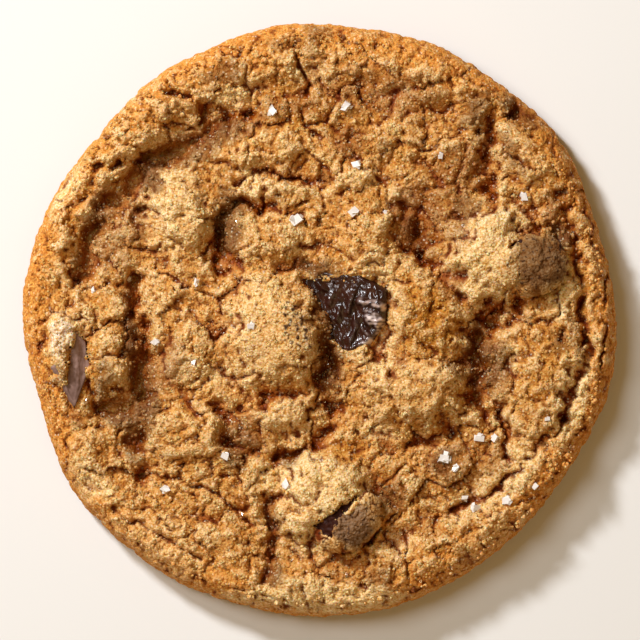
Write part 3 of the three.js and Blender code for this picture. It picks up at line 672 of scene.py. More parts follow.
def held_in(z):
    """The height z, with the deepest pits and the highest bumps pressed back."""
    room = PIT_FROM - PIT_FLOOR
    z = np.where(z < PIT_FROM, PIT_FLOOR + room * np.exp(np.minimum(z - PIT_FROM, 0) / room), z)
    return CEILING_FROM + (z - CEILING_FROM) * np.where(z > CEILING_FROM, CEILING_SHARE, 1)


def top_height(x, y):
    """Height of the top surface, before the edge rounds it off."""
    inset = inset_of(x, y)
    wx, wy = wandered(x, y)
    z = TOP_AT_RIM + DOME * smoothstep(inset, 0, MEAN_RADIUS)
    z = z + RIM_RISE * bell(inset - RIM_INSET, RIM_WIDTH)
    z = z - HOLLOW_DROP * bell(inset - HOLLOW_INSET, HOLLOW_WIDTH)
    swell = mound_swell(wx, wy)
    z = z + swell
    z = z + UNEVEN_HEIGHT * noise(x / UNEVEN_LENGTH, y / UNEVEN_LENGTH, UNEVEN_SEED)
    z = z + crumble(x, y, swell, smoothstep(inset, *PLATES_FADE))
    cell, height, seed = LUMPS
    z = z + height * (lumps(x / cell, y / cell, seed) - 0.5)
    return held_in(opened(cracked(z, x, y, wx, wy), x, y, wx, wy))


def edge_place(angle, share):
    """Radius and height on the rounded edge, from the top (share 0) down to the waist (share 1)."""
    fall = 0.5 * np.pi * share
    outward, upward = np.sin(fall), np.cos(fall)
    radius = outline_radius(angle) - EDGE_ROUND * (1 - outward**EDGE_POWER)
    top = top_height(radius * np.cos(angle), radius * np.sin(angle))
    height = WAIST_HEIGHT + (top - WAIST_HEIGHT) * upward**EDGE_POWER
    along, down = angle * MEAN_RADIUS, share * EDGE_LENGTH
    pocks = 0
    for cell, depth, seed in EDGE_CRUMB:
        pocks = pocks + depth * (1 - lumps(along / cell, down / cell + 0 * angle, seed))
    return radius + (EDGE_SWELL - pocks) * outward, height - pocks * outward * upward


def spot_map(x, y, spots):
    """The strongest spot at each point, full in its middle and gone a little past its outline."""
    wx, wy = wandered(x, y)
    total = np.zeros_like(x)
    for *ellipse, strength in spots:
        share = ellipse_share(wx, wy, *ellipse)
        total = np.maximum(total, strength * (1 - smoothstep(share, 0.5, 1.15)))
    return total


class ReliefMap:
    """The top's heights on a square grid, and how far each place lies below its surroundings."""

    STEP = 0.16

    def __init__(self):
        reach = MEAN_RADIUS + 3
        self.start = -reach
        line = np.arange(-reach, reach, self.STEP)
        x, y = np.meshgrid(line, line)
        self.height = top_height(x, y)
        self.sunk = {name: self.blurred(self.height, width) - self.height
                     for name, width in SUNK_WIDTHS.items()}

    def blurred(self, field, width):
        waves = np.fft.fftfreq(field.shape[0], self.STEP)
        fade = np.exp(-2 * (np.pi * width * waves) ** 2)
        return np.fft.ifft2(np.fft.fft2(field) * fade[:, None] * fade[None, :]).real

    def at(self, field, x, y):
        column = (x - self.start) / self.STEP
        row = (y - self.start) / self.STEP
        i = np.clip(np.floor(column).astype(int), 0, field.shape[1] - 2)
        j = np.clip(np.floor(row).astype(int), 0, field.shape[0] - 2)
        u, v = np.clip(column - i, 0, 1), np.clip(row - j, 0, 1)
        low = field[j, i] * (1 - u) + field[j, i + 1] * u
        high = field[j + 1, i] * (1 - u) + field[j + 1, i + 1] * u
        return low * (1 - v) + high * v


def linear(red, green, blue):
    """A colour from 0 to 255 as Blender's linear colour."""
    shares = [channel / 255 for channel in (red, green, blue)]
    return tuple(((s + 0.055) / 1.055) ** 2.4 if s > 0.04045 else s / 12.92 for s in shares) + (1.0,)


class Shader:
    """A new material, with short calls for the nodes that the materials here use."""

    def __init__(self, name):
        self.material = bpy.data.materials.new(name)
        self.material.use_nodes = True
        self.tree = self.material.node_tree
        self.surface = self.tree.nodes["Principled BSDF"]
        self.place = self.tree.nodes.new("ShaderNodeTexCoord").outputs["Object"]

    def node(self, kind, **settings):
        made = self.tree.nodes.new(kind)
        for name, value in settings.items():
            setattr(made, name, value)
        return made

    def put(self, value, socket):
        """Links a node's output to a socket, or sets a plain value on it."""
        if isinstance(value, bpy.types.NodeSocket):
            self.tree.links.new(value, socket)
        else:
            socket.default_value = value

    def set(self, **values):
        """Sets sockets of the surface shader, each named in small letters with underscores."""
        for name, value in values.items():
            title = name.replace("_", " ").title().replace("Ior", "IOR")
            self.put(value, self.surface.inputs[title])

    def math(self, operation, a, b=0.0, clamp=False):
        made = self.node("ShaderNodeMath", operation=operation, use_clamp=clamp)
        self.put(a, made.inputs[0])
        self.put(b, made.inputs[1])
        return made.outputs[0]

    def span(self, value, low, high, to_low=0.0, to_high=1.0):
        made = self.node("ShaderNodeMapRange")
        for index, given in enumerate((value, low, high, to_low, to_high)):
            self.put(given, made.inputs[index])
        return made.outputs[0]

    def noise(self, size_mm, detail=3.0, roughness=0.6):
        made = self.node("ShaderNodeTexNoise")
        self.put(self.place, made.inputs["Vector"])
        made.inputs["Scale"].default_value = 1 / (size_mm * MM)
        made.inputs["Detail"].default_value = detail
        made.inputs["Roughness"].default_value = roughness
        return made.outputs["Fac"]

    def cells(self, size_mm):
        """Distance to the middle of the nearest cell, and that cell's own random colour."""
        made = self.node("ShaderNodeTexVoronoi", feature="F1")
        self.put(self.place, made.inputs["Vector"])
        made.inputs["Scale"].default_value = 1 / (size_mm * MM)
        return made.outputs["Distance"], made.outputs["Color"]

    def attribute(self, name, output="Fac"):
        return self.node("ShaderNodeAttribute", attribute_name=name).outputs[output]

    def mix(self, share, a, b, blend="MIX"):
        made = self.node("ShaderNodeMix", data_type="RGBA", blend_type=blend)
        self.put(share, made.inputs["Factor"])
        self.put(a, made.inputs[6])
        self.put(b, made.inputs[7])
        return made.outputs[2]

    def bump(self, height, depth_mm, under=None):
        made = self.node("ShaderNodeBump")
        made.inputs["Distance"].default_value = 1.0
        depth = self.math("MULTIPLY", depth_mm, MM)
        self.put(self.math("MULTIPLY", height, depth), made.inputs["Height"])
        if under is not None:
            self.put(under, made.inputs["Normal"])
        return made.outputs["Normal"]


def grainy_material(name, translucency, painted_glints):
    """A crust whose tint comes with the mesh, with fine grain in its colour and surface, painted shade
    between its pebbles and painted glints on a few of them.
    """
    shader = Shader(name)
    tint = shader.attribute("tint", "Color")
    wet = shader.attribute("wet")
    grain = shader.noise(0.34, 2.0, 0.6)
    cluster = shader.noise(0.9, 3.0, 0.6)
    away, drawn_colour = shader.cells(0.4)
    pebbled = shader.math("SUBTRACT", 1.0, shader.math("MULTIPLY", away, away))
    dark = shader.mix(1.0, tint, (0.72, 0.53, 0.26, 1), "MULTIPLY")
    light = shader.mix(1.0, tint, (1.02, 1.08, 1.16, 1), "MULTIPLY")
    grain_sum = shader.math("ADD", grain, shader.math("MULTIPLY", cluster, 0.6))
    colour = shader.mix(shader.span(grain_sum, 0.58, 1.0), dark, light)
    # Darker between the pebbles: pinholes, and painted shade in the creases that the bump cuts there.
    pores_and_crease_shade = shader.mix(1.0, colour, (0.74, 0.54, 0.24, 1), "MULTIPLY")
    colour = shader.mix(shader.span(away, 0.56, 0.85), colour, pores_and_crease_shade)
    drawn = shader.node("ShaderNodeSeparateColor")
    shader.put(drawn_colour, drawn.inputs[0])
    # Painted glints: a few pebble tops turned near white, and made glossier.
    few = shader.span(drawn.outputs[0], 0.86, 0.9)
    painted_glint = shader.math("MULTIPLY", few, shader.span(pebbled, 0.75, 0.92))
    colour = shader.mix(shader.math("MULTIPLY", painted_glint, painted_glints), colour, linear(255, 240, 206))
    dull = shader.math("SUBTRACT", 0.85, shader.math("MULTIPLY", wet, 0.6))
    shader.set(
        base_color=colour,
        roughness=shader.math("SUBTRACT", dull, shader.math("MULTIPLY", painted_glint, 0.3), clamp=True),
        normal=shader.bump(pebbled, 0.16, under=shader.bump(grain, 0.15)),
        subsurface_weight=translucency,
        subsurface_radius=(1.0, 0.45, 0.2),
        subsurface_scale=0.7 * MM,
        specular_ior_level=0.14,
    )
    return shader.material


def chocolate_material(name, least_rough, most_rough, reflection, bloom_and_highlight_dark, bloom_and_highlight_light):
    """Dark chocolate, made pale in two shades where its attribute says so: bloom on the dull pieces,
    painted highlight on the melted one.
    """
    shader = Shader(name)
    bloom_and_highlight = shader.attribute("bloom_and_highlight")
    cloud = shader.span(shader.noise(1.8, 4), 0.35, 0.7)
    dark = shader.mix(cloud, linear(34, 13, 8), linear(62, 30, 20))
    bloom_and_highlight_colour = shader.mix(cloud, linear(*bloom_and_highlight_dark), linear(*bloom_and_highlight_light))
    streak = shader.noise(0.3, 2, 0.5)
    streak_depth = shader.math("SUBTRACT", 0.06, shader.math("MULTIPLY", bloom_and_highlight, 0.04))
    shader.set(
        base_color=shader.mix(bloom_and_highlight, dark, bloom_and_highlight_colour),
        roughness=shader.span(streak, 0.3, 0.7, least_rough, most_rough),
        normal=shader.bump(streak, streak_depth),
        specular_ior_level=reflection,
    )
    return shader.material


def crystal_material(name, colour, transmission):
    """Clear or cloudy crystals, a little uneven in their gloss."""
    shader = Shader(name)
    gloss = shader.span(shader.noise(0.6, 2), 0.3, 0.7, 0.03, 0.16)
    shader.set(base_color=colour, roughness=gloss, transmission_weight=transmission, ior=1.5)
    return shader.material


def ring_faces(counts):
    """Triangles between each ring and the next, whatever number of corners each has."""
    faces = []
    start = 0
    for inner, outer in zip(counts, counts[1:]):
        base = start + inner
        i = j = 0
        last_i = inner if inner > 1 else 0
        last_j = outer if outer > 1 else 0
        while i < last_i or j < last_j:
            if inner == 1 or (outer > 1 and (j + 0.5) / outer <= (i + 0.5) / inner):
                faces.append((start + i % inner, base + j % outer, base + (j + 1) % outer))
                j += 1
            else:
                faces.append((start + i % inner, base + j % outer, start + (i + 1) % inner))
                i += 1
        start = base
    return np.array(faces)


def mesh_object(name, points_mm, faces, material, smooth=True):
    mesh = bpy.data.meshes.new(name)
    mesh.vertices.add(len(points_mm))
    mesh.vertices.foreach_set("co", (np.asarray(points_mm) * MM).ravel())
    corners = faces.shape[1]
    mesh.loops.add(faces.size)
    mesh.loops.foreach_set("vertex_index", faces.ravel().astype(np.int32))
    mesh.polygons.add(len(faces))
    mesh.polygons.foreach_set("loop_start", np.arange(0, faces.size, corners, dtype=np.int32))
    mesh.update(calc_edges=True)
    mesh.validate()
    mesh.polygons.foreach_set("use_smooth", np.full(len(mesh.polygons), smooth))
    mesh.materials.append(material)
    piece = bpy.data.objects.new(name, mesh)
    bpy.context.scene.collection.objects.link(piece)
    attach(piece, "root")
    return piece


def set_attribute(piece, name, values):
    layer = piece.data.attributes.new(name, "FLOAT", "POINT")
    layer.data.foreach_set("value", np.clip(values, 0, 1).astype(np.float32))


def set_tint(piece, tint, wet):
    layer = piece.data.attributes.new("tint", "FLOAT_COLOR", "POINT")
    solid = np.column_stack([tint, np.ones(len(tint))])
    layer.data.foreach_set("color", solid.astype(np.float32).ravel())
    set_attribute(piece, "wet", wet)


def blend(tint, target, share):
    """Tints moved toward a colour, each by its own share."""
    return tint + (np.array(linear(*target)[:3]) - tint) * share[:, None]


def dough_tint(x, y, z, relief):
    """The dough's tint and how wet it looks, from where each point lies: with painted shade in
    hollows, creases and some spots, and painted light on raised places and some slopes.
    """
    inset = inset_of(x, y)
    top = smoothstep(z, 3.0, 6.0)
    wide, middle, close = (top * relief.at(relief.sunk[name], x, y) for name in SUNK_WIDTHS)
    caramel = top * spot_map(x, y, CARAMEL_SPOTS)
    mottle = 0.5 + 0.5 * noise(x / 2.8, y / 2.8, 301)
    bits = noise(x / 0.9, y / 0.9, 305)
    speckled = spot_map(x, y, SPECK_SPOTS)
    speck = noise(x / 0.6, y / 0.6, 311) > 0.75 - 0.5 * speckled
    layers = [
        (CRUST, np.ones_like(x)),
        (CRUST_LIGHT, mottle),
        (BITS_LIGHT, 0.5 * smoothstep(bits, 0.1, 0.8)),
        (BITS_BROWN, 0.4 * smoothstep(-bits, 0.1, 0.8)),
        (RIM_TAN, 0.8 * (1 - smoothstep(inset, 3.0, 9.0))),
        (EDGE_TAN, 0.7 * (1 - smoothstep(inset, 0.6, 3.4))),
        # floury pale, and painted light on some slopes
        (PALE_AND_LIT, top * spot_map(x, y, PALE_AND_LIT_SPOTS)),
        (AMBER, top * spot_map(x, y, AMBER_SPOTS)),
        # Painted light: lighter where a place stands above its surroundings.
        (CREST_PAINTED_LIGHT, smoothstep(-middle, 0.0, 0.5) * 0.6),
        (CARAMEL, 0.9 * caramel * (0.6 + 0.4 * mottle)),
        # Painted shade: darker the deeper a place lies below its surroundings, at three widths.
        (VALLEY_SHADE, 0.85 * smoothstep(wide, 0.2, 1.7)),
        (HOLLOW_SHADE, 0.8 * smoothstep(middle, 0.08, 0.7)),
        (CREASE_SHADE, 0.9 * smoothstep(close, 0.05, 0.35)),
        # Painted shade in the listed spots.
        (PAINTED_SHADE, 0.85 * top * spot_map(x, y, PAINTED_SHADE_SPOTS)),
        (GREY, 0.7 * top * spot_map(x, y, GREY_SPOTS)),
        (BLOOM, top * spot_map(x, y, BLOOM_SPOTS)),
        (SPECK, 0.95 * speck * (speckled > 0.1)),
        (UNDERSIDE, 1 - smoothstep(z, 0.1, 1.6)),
    ]
    tint = np.zeros((len(x), 3))
    for colour, share in layers:
        tint = blend(tint, colour, share)
    wet = np.maximum(0.9 * caramel * mottle, smoothstep(wide, 0.6, 1.8))
    return tint, wet


def ring_points(count, place):
    """One ring of points, at the radius and height that place gives for each angle."""
    angle = 2 * np.pi * np.arange(count) / count
    radius, height = place(angle)
    return np.column_stack([radius * np.cos(angle), radius * np.sin(angle), height + 0 * angle])


def dough_points():
    """Rings of points from the middle of the top, over the edge, to the middle of the underside."""
    top_rings, edge_rings, under_rings = 154, 22, 10

    def top_place(ring):
        def place(angle):
            radius = (outline_radius(angle) - EDGE_ROUND) * ring / top_rings
            return radius, top_height(radius * np.cos(angle), radius * np.sin(angle))
        return place

    rings = [ring_points(max(1, 6 * ring), top_place(ring)) for ring in range(top_rings + 1)]
    round_count = 6 * top_rings
    for ring in range(1, edge_rings + 1):
        rings.append(ring_points(round_count, lambda angle: edge_place(angle, ring / edge_rings)))
    for ring in range(under_rings, -1, -1):
        count = max(1, round_count * ring // under_rings)
        share = ring / under_rings
        rings.append(ring_points(
            count, lambda angle: ((outline_radius(angle) - FOOT_INSET) * share, 0),
        ))
    return rings


def make_dough(relief, material):
    rings = dough_points()
    points = np.concatenate(rings)
    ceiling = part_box("cookie")[1][2] / MM
    points[:, 2] = np.minimum(points[:, 2], ceiling - 0.05)
    faces = ring_faces([len(ring) for ring in rings])
    cookie = mesh_object("cookie_dough", points, faces, material)
    set_tint(cookie, *dough_tint(*points.T, relief))
    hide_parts("cookie")


def polygon_radius(corners, angle):
    """Distance from the origin to a star-shaped outline of straight sides."""
    radius = np.full_like(angle, np.inf)
    ray_x, ray_y = np.cos(angle), np.sin(angle)
    for (ax, ay), (bx, by) in zip(corners, corners[1:] + corners[:1]):
        ex, ey = bx - ax, by - ay
        turn = ray_x * ey - ray_y * ex
        safe = np.where(np.abs(turn) < 1e-9, 1e-9, turn)
        reach = (ax * ey - ay * ex) / safe
        along = (ax * ray_y - ay * ray_x) / safe
        hit = (reach > 0) & (along >= -1e-6) & (along <= 1 + 1e-6)
        radius = np.where(hit, np.minimum(radius, reach), radius)
    return radius


def chunk_points(chip, relief_of_top):
    """Rings of points over the top of a chunk, down its sides and under it."""
    top_rings, side_rings, bevel = 40, 5, 0.6
    rings = []
    for ring in range(top_rings + 1):
        def place(angle, share=ring / top_rings):
            radius = polygon_radius(chip["corners"], angle)
            inset = radius * (1 - share)
            round_off = bevel * (1 - np.sqrt(1 - np.clip(1 - inset / bevel, 0, 1) ** 2))
            x, y = radius * share * np.cos(angle), radius * share * np.sin(angle)
            return radius * share, relief_of_top(x, y) * smoothstep(inset, 0, 1.0) - round_off
        rings.append(ring_points(max(1, 6 * ring), place))
    for ring in range(1, side_rings + 1):
        depth = bevel + (chip["thick"] - bevel) * ring / side_rings
        rings.append(ring_points(
            6 * top_rings, lambda angle: (polygon_radius(chip["corners"], angle), -depth),
        ))
    rings.append(np.array([[0.0, 0.0, -chip["thick"]]]))
    return rings


def named_folds(x, y):
    """Height of the melted piece's folds."""
    cx, cy, _ = CHUNK_CENTRE["at"]
    wx = x + 0.25 * noise(x / 1.3, y / 1.3, 201)
    wy = y + 0.25 * noise(x / 1.3, y / 1.3, 204)
    folds = np.zeros_like(x)
    for width, height, points in FOLDS:
        away = line_distance(wx + cx, wy + cy, points)
        folds = np.maximum(folds, FOLD_HEIGHT * height * bell(away, width))
    return folds


def melted_folds(x, y):
    """Relief of the melted piece: its folds, and wrinkles between them."""
    bend = x + 0.2 * y + 0.25 * noise(x / 1.3, y / 1.3, 201)
    wrinkle = 0.7 - np.abs(noise(bend / 0.8, y / 3.6, 202))
    ripple = noise(x / 0.5, y / 0.7, 205)
    raised = 0.07 * np.maximum(0, x - 0.5) * smoothstep(x, 0.5, 2.5)
    return raised + named_folds(x, y) + 0.3 * wrinkle + 0.12 * ripple - 0.2


def painted_fold_highlight(x, y):
    """Painted highlight on the crests of the folds, most at the right: pale colour that stands for the
    melted chocolate's sheen.
    """
    crest = smoothstep(named_folds(x, y), 0.3, 0.8)
    patchy = smoothstep(noise(x / 0.7, y / 0.5, 207), -0.4, 0.3)
    return crest * patchy * (0.06 + 0.9 * smoothstep(x, 1.0, 3.4))


def flat_bloom(x, y):
    """Bloom all over the flat piece, thinner in streaks and towards its lower end."""
    streaks = noise(x / 0.5, y / 2.6, 213)
    return np.clip(0.82 + 0.14 * streaks + 0.03 * y, 0.3, 1)


def flat_facet(x, y):
    """An almost flat break, with a low ridge along it and fine flaking at its edges."""
    flaking = 0.05 * noise(x / 1.4, y / 1.4, 211) + 0.06 * noise(x / 0.45, y / 0.8, 212)
    return 0.25 * bell(x - 0.9, 0.7) + flaking - 0.2


def make_chunk(chip, relief_of_top, bloom_and_highlight_of_top, material):
    """A broken chunk of chocolate with its own relief on top, and its own pale colour there: bloom on
    the flat piece, a painted highlight on the melted one.
    """
    rings = chunk_points(chip, relief_of_top)
    local = np.concatenate(rings)
    points = local @ chip_turn(chip).T + np.array(chip["at"])
    faces = ring_faces([len(ring) for ring in rings])
    piece = mesh_object(chip["node"] + "_piece", points, faces, material)
    set_attribute(piece, "bloom_and_highlight", bloom_and_highlight_of_top(local[:, 0], local[:, 1]))
    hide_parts(chip["node"])


def film_share(chip, x, y):
    """Where the dough's film lies on a chocolate piece: 1 under it, 0 where the piece is bare."""
    wx, wy = wandered(x, y)
    out = outside_by(x + 0.5 * (wx - x), y + 0.5 * (wy - y), chip["window"])
    out = out + 0.4 * noise(x / 0.7, y / 0.7, 225)
    return smoothstep(out, -0.1, 0.3)


def drop_rings():
    """Rings of unit directions, from the top of an ellipsoid to its foot."""
    steps = 90
    rings = []
    for ring in range(steps + 1):
        fall = np.pi * ring / steps
        across, up = math.sin(fall), math.cos(fall)
        count = 1 if ring in (0, steps) else max(6, round(2 * steps * across))
        rings.append(ring_points(count, lambda angle: (across, up)))
    return rings


def film_tint(chip, x, y, z, crust, relief):
    """The dough's tint over a drop: dusty round its middle, with painted shade in that dust on the
    right drop, paler where thick, with dark specks.
    """
    tint, _ = dough_tint(x, y, z, relief)
    dusty_x, dusty_y, dusty_radius = chip["dusty_from"]
    wx, wy = wandered(x, y)
    off_middle = np.hypot(wx - dusty_x, wy - dusty_y) / dusty_radius
    tint = blend(tint, chip["dust_and_shade"], 1 - smoothstep(off_middle, 0.6, 1.1))
    tint = blend(tint, FILM_THICK, 0.3 * smoothstep(crust, 0.35, 0.7))
    return blend(tint, FILM_SPECK, 0.85 * (noise(x / 0.5, y / 0.5, 231) > 0.48))


def make_drop(chip, relief, chocolate, film):
    """A chocolate drop, and the film of dough that lies over most of it."""
    rings = drop_rings()
    unit = np.concatenate(rings)
    plain = (unit * np.array(chip["half"])) @ chip_turn(chip).T + np.array(chip["at"])
    x, y, z = plain.T
    covered = film_share(chip, x, y) * smoothstep(unit[:, 2], 0.05, 0.3)
    crust = np.clip(FILM_DEPTH + 0.6 * crumble(x, y, np.full_like(x, 3.0), 1.0), 0.05, 0.75)
    bare = 0.16 * noise(x / 0.8, y / 0.8, 222) + 0.12 * noise(x / 0.4, y / 0.4, 223)
    outward = unit / np.array(chip["half"])
    outward = (outward / np.linalg.norm(outward, axis=1)[:, None]) @ chip_turn(chip).T
    points = plain + outward * (covered * crust + (1 - covered) * bare)[:, None]
    faces = ring_faces([len(ring) for ring in rings])
    piece = mesh_object(chip["node"] + "_piece", points, faces, chocolate)
    piece.data.materials.append(film)
    set_attribute(piece, "bloom_and_highlight", np.zeros(len(points)))
    set_tint(piece, film_tint(chip, x, y, z, crust, relief), np.zeros_like(x))
    film_faces = covered[faces].mean(1) > 0.5
    piece.data.polygons.foreach_set("material_index", film_faces.astype(np.int32))
    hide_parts(chip["node"])


def make_chips(relief, film):
    melted = chocolate_material(
        "melted_chocolate", least_rough=0.15, most_rough=0.28, reflection=0.55,
        # On the melted piece these two pale colours are a painted highlight on the crests of its
        # folds.
        bloom_and_highlight_dark=(190, 160, 150), bloom_and_highlight_light=(236, 218, 210),
    )
    dull = chocolate_material(
        "dull_chocolate", least_rough=0.42, most_rough=0.6, reflection=0.05,
        bloom_and_highlight_dark=(134, 104, 92), bloom_and_highlight_light=(162, 132, 120),
    )
    make_chunk(CHUNK_CENTRE, melted_folds, painted_fold_highlight, melted)
    make_chunk(CHUNK_LEFT, flat_facet, flat_bloom, dull)
    for chip in (DROP_LOWER, DROP_RIGHT):
        make_drop(chip, relief, dull, film)


def clear_of_chips(x, y, gap):
    clear = np.ones(x.shape, bool)
    for chip in CHIPS:
        clear &= outside_by(x, y, chip["window"]) > gap
    return clear


def scattered(count, random, keep, gap):
    """Places on the top, at random, each kept with the chance that the function keep gives it.

    Those nearer than a gap to the bare chocolate are left out.
    """
    angle = 2 * np.pi * random.random(count)
    radius = (MEAN_RADIUS - 1.5) * np.sqrt(random.random(count))
    x, y = radius * np.cos(angle), radius * np.sin(angle)
    kept = (random.random(count) < keep(x, y)) & clear_of_chips(x, y, gap)
    return x[kept], y[kept]


def turned(shape, random, count, tip):
    """Copies of a shape, each turned at random: freely, or tipped only a little where tip is small."""
    spin, lean, way = (2 * np.pi * random.random(count) for _ in range(3))
    lean = lean * tip
    axis = np.column_stack([np.cos(way), np.sin(way), 0 * way])
    flat = np.stack([np.cos(spin), -np.sin(spin)], 1), np.stack([np.sin(spin), np.cos(spin)], 1)
    x = shape[None, :, 0] * flat[0][:, :1] + shape[None, :, 1] * flat[0][:, 1:]
    y = shape[None, :, 0] * flat[1][:, :1] + shape[None, :, 1] * flat[1][:, 1:]
    z = np.broadcast_to(shape[None, :, 2], x.shape)
    points = np.stack([x, y, z], 2)
    along = np.einsum("nvk,nk->nv", points, axis)[..., None] * axis[:, None, :]
    cross = np.cross(np.broadcast_to(axis[:, None, :], points.shape), points)
    c, s = np.cos(lean)[:, None, None], np.sin(lean)[:, None, None]
    return points * c + cross * s + along * (1 - c)


def block_shape(length, width, height):
    """A block of six rectangles, as its corners and faces."""
    corners = [(x, y, z) for x in (-0.5, 0.5) for y in (-0.5, 0.5) for z in (-0.5, 0.5)]
    faces = [(0, 1, 3, 2), (4, 6, 7, 5), (0, 4, 5, 1), (2, 3, 7, 6), (0, 2, 6, 4), (1, 5, 7, 3)]
    return np.array(corners) * np.array((length, width, height)), np.array(faces)


def round_shape(subdivisions):
    """A ball of triangles, one across."""
    ball = bmesh.new()
    bmesh.ops.create_icosphere(ball, subdivisions=subdivisions, radius=0.5)
    points = np.array([corner.co[:] for corner in ball.verts])
    faces = np.array([[corner.index for corner in face.verts] for face in ball.faces])
    ball.free()
    return points, faces


def strewn(name, shape, places, sizes, tip, jitter, raised, random, material, relief, smooth=False):
    """One joined mesh of small copies of a shape that lie on the dough, each a little different.

    Tip is how far each may lean, as a share of a full turn, jitter is how uneven it is, and raised
    is how far its middle stands above the dough, in its own size.
    """
    corners, faces = shape
    x, y = places
    count = len(x)
    stretch = random.uniform(1 - jitter, 1 + jitter, (count, 1, 3))
    dents = random.uniform(1 - jitter, 1 + jitter, (count, len(corners), 1))
    copies = turned(corners, random, count, tip) * sizes[:, None, None] * dents * stretch
    z = relief.at(relief.height, x, y) + raised * sizes
    middles = np.stack([x, y, z], 1)
    points = (copies + middles[:, None, :]).reshape(-1, 3)
    first_corners = len(corners) * np.arange(count)
    all_faces = (faces[None] + first_corners[:, None, None]).reshape(-1, faces.shape[1])
    piece = mesh_object(name, points, all_faces, material, smooth)
    return piece, np.repeat(middles, len(corners), 0)


def power_sizes(random, count, least, most):
    """Sizes of crumbs: many small, few large."""
    return least / (1 - random.random(count) * (1 - (least / most) ** 2)) ** 0.5


def make_crumbs(relief, material):
    """Loose and half-loose crumbs, most where the crust is broken."""
    random = np.random.default_rng(SEED)

    def keep(x, y):
        off_mounds = 0.9 - 0.6 * spot_map(x, y, PALE_AND_LIT_SPOTS)
        return off_mounds * (0.35 + 0.65 * smoothstep(noise(x / 4, y / 4, 401), -0.6, 0.3))

    x, y = scattered(CRUMBS_DRAWN, random, keep, gap=0.25)
    sizes = power_sizes(random, len(x), *CRUMB_SIZES)
    piece, middles = strewn(
        "crumbs", round_shape(1), (x, y), sizes, tip=0.5, jitter=0.22, raised=-0.08,
        random=random, material=material, relief=relief, smooth=True,
    )
    tint, wet = dough_tint(*middles.T, relief)
    shade = np.repeat(random.uniform(0.0, 1.0, len(x)), len(middles) // len(x))
    set_tint(piece, blend(tint, CRUMB_LIGHT, 0.35 * shade), wet)


def make_edge_crumbs(relief, material):
    """Crumbs of dough and of chocolate along the edges of the bare chocolate."""
    random = np.random.default_rng(SEED + 3)
    places = []
    for chip in (CHUNK_CENTRE, CHUNK_LEFT, DROP_LOWER):
        corners = [np.array(corner) for corner in chip["window"] + chip["window"][:1]]
        for start, end in zip(corners, corners[1:]):
            count = round(EDGE_CRUMBS_PER_MM * math.dist(start, end))
            along = random.random((count, 1))
            places.append(start + along * (end - start) + random.normal(0.0, 0.2, (count, 2)))
    x, y = np.concatenate(places).T
    sizes = power_sizes(random, len(x), *EDGE_CRUMB_SIZES)
    piece, middles = strewn(
        "edge_crumbs", round_shape(1), (x, y), sizes, tip=0.5, jitter=0.25, raised=0.1,
        random=random, material=material, relief=relief, smooth=True,
    )
    each = len(middles) // len(x)
    tint, wet = dough_tint(*middles.T, relief)
    tint = blend(tint, EDGE_CRUMB_LIGHT, 0.6 * np.repeat(random.random(len(x)), each))
    tint = blend(tint, CHOCOLATE_CRUMB, np.repeat(random.random(len(x)) < 0.25, each))
    set_tint(piece, tint, wet)


def make_sugar(relief, material):
    """Sugar grains, most in the hollows and where the caramel is."""
    random = np.random.default_rng(SEED + 1)

    def keep(x, y):
        sunk = smoothstep(relief.at(relief.sunk["wide"], x, y), -0.2, 1.0)
        gathered = smoothstep(noise(x / 3.0, y / 3.0, 411), -0.3, 0.5)
        return (0.1 + 0.45 * sunk + 0.45 * spot_map(x, y, CARAMEL_SPOTS)) * gathered

    x, y = scattered(SUGAR_DRAWN, random, keep, gap=0.2)
    sizes = random.uniform(*SUGAR_SIZES, len(x))
    strewn(
        "sugar_grains", block_shape(1.0, 0.85, 0.7), (x, y), sizes, tip=0.5, jitter=0.1, raised=0.25,
        random=random, material=material, relief=relief,
    )


def make_salt(relief, material):
    """Salt crystals, each a few blocks grown together."""
    random = np.random.default_rng(SEED + 2)
    x, y, lengths = np.repeat(np.array(SALT), 3, 0).T
    sizes = lengths * np.tile((0.75, 0.55, 0.4), len(SALT))
    apart = 0.25 * lengths * np.tile((0.0, 1.0, 1.3), len(SALT))
    way = 2 * np.pi * random.random(len(x))
    places = x + apart * np.cos(way), y + apart * np.sin(way)
    strewn(
        "salt_flakes", block_shape(1.0, 0.75, 0.5), places, sizes, tip=0.12, jitter=0.25, raised=0.2,
        random=random, material=material, relief=relief,
    )


def make_floor():
    reach = 0.9
    corners = [(-reach, -reach, 0), (reach, -reach, 0), (reach, reach, 0), (-reach, reach, 0)]
    mesh = bpy.data.meshes.new("floor")
    mesh.from_pydata(corners, [], [(0, 1, 2, 3)])
    floor = bpy.data.objects.new("floor", mesh)
    bpy.context.scene.collection.objects.link(floor)
    shader = Shader("floor_grey")
    shader.set(base_color=linear(225, 224, 221), roughness=0.9)
    mesh.materials.append(shader.material)


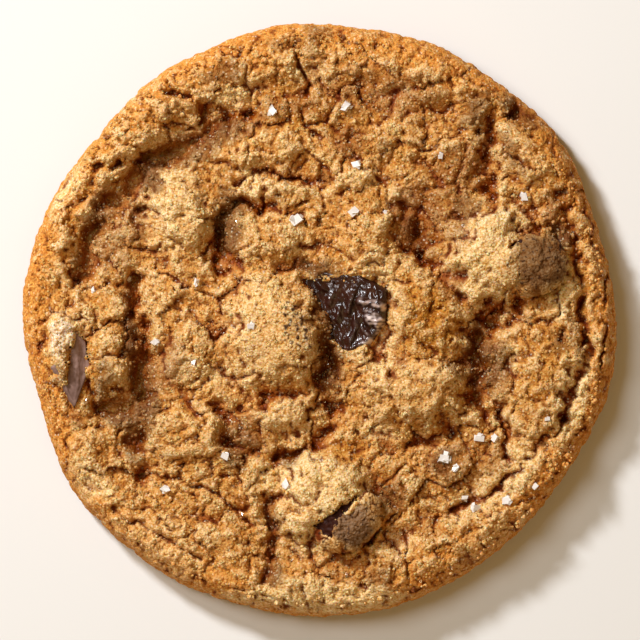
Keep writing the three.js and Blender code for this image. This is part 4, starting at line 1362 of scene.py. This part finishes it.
def area_light(name, azimuth, elevation, distance, size, power, colour):
    """A round soft light that points at the cookie from an azimuth and elevation in degrees."""
    lamp = bpy.data.lights.new(name, "AREA")
    lamp.shape = "DISK"
    lamp.size = size
    lamp.energy = power
    lamp.color = colour
    light = bpy.data.objects.new(name, lamp)
    a, e = math.radians(azimuth), math.radians(elevation)
    away = Vector((math.cos(e) * math.cos(a), math.cos(e) * math.sin(a), math.sin(e)))
    light.location = away * distance
    light.rotation_euler = away.to_track_quat("Z", "Y").to_euler()
    bpy.context.scene.collection.objects.link(light)


def make_lights():
    """Key light from the upper left as in the photo, a broad sheen beside it, and a warm fill."""
    area_light("key", 132, 38, distance=0.8, size=0.12, power=7.2, colour=(0.965, 0.99, 1.04))
    area_light("sheen", 150, 58, distance=0.9, size=0.36, power=3.0, colour=(1.0, 1.0, 1.0))
    area_light("fill", -60, 50, distance=0.9, size=0.7, power=1.1, colour=(1.0, 0.72, 0.38))
    world = bpy.data.worlds.new("studio")
    world.use_nodes = True
    background = world.node_tree.nodes["Background"]
    background.inputs["Color"].default_value = (1.0, 0.62, 0.2, 1)
    background.inputs["Strength"].default_value = 0.19
    bpy.context.scene.world = world


def make_camera():
    """Straight above and far off, with the photo's frame, 96 mm wide at mid-height."""
    lens, sensor, width = 500.0, 36.0, 0.096
    camera = bpy.data.objects.new("camera", bpy.data.cameras.new("camera"))
    camera.data.lens = lens
    camera.data.sensor_width = sensor
    camera.location = (0, 0, 5 * MM + width * lens / sensor)
    bpy.context.scene.collection.objects.link(camera)
    bpy.context.scene.camera = camera


def build():
    relief = ReliefMap()
    dough = grainy_material("baked_dough", 0.5, 0.35)
    film = grainy_material("dough_film", 0.1, 0.05)
    make_dough(relief, dough)
    make_chips(relief, film)
    make_crumbs(relief, dough)
    make_edge_crumbs(relief, dough)
    make_sugar(relief, crystal_material("sugar_crystal", linear(255, 226, 176), 0.85))
    make_salt(relief, crystal_material("salt_crystal", linear(255, 248, 240), 0.3))
    make_floor()
    make_lights()
    make_camera()
    bpy.context.scene.view_settings.view_transform = "Standard"


build()
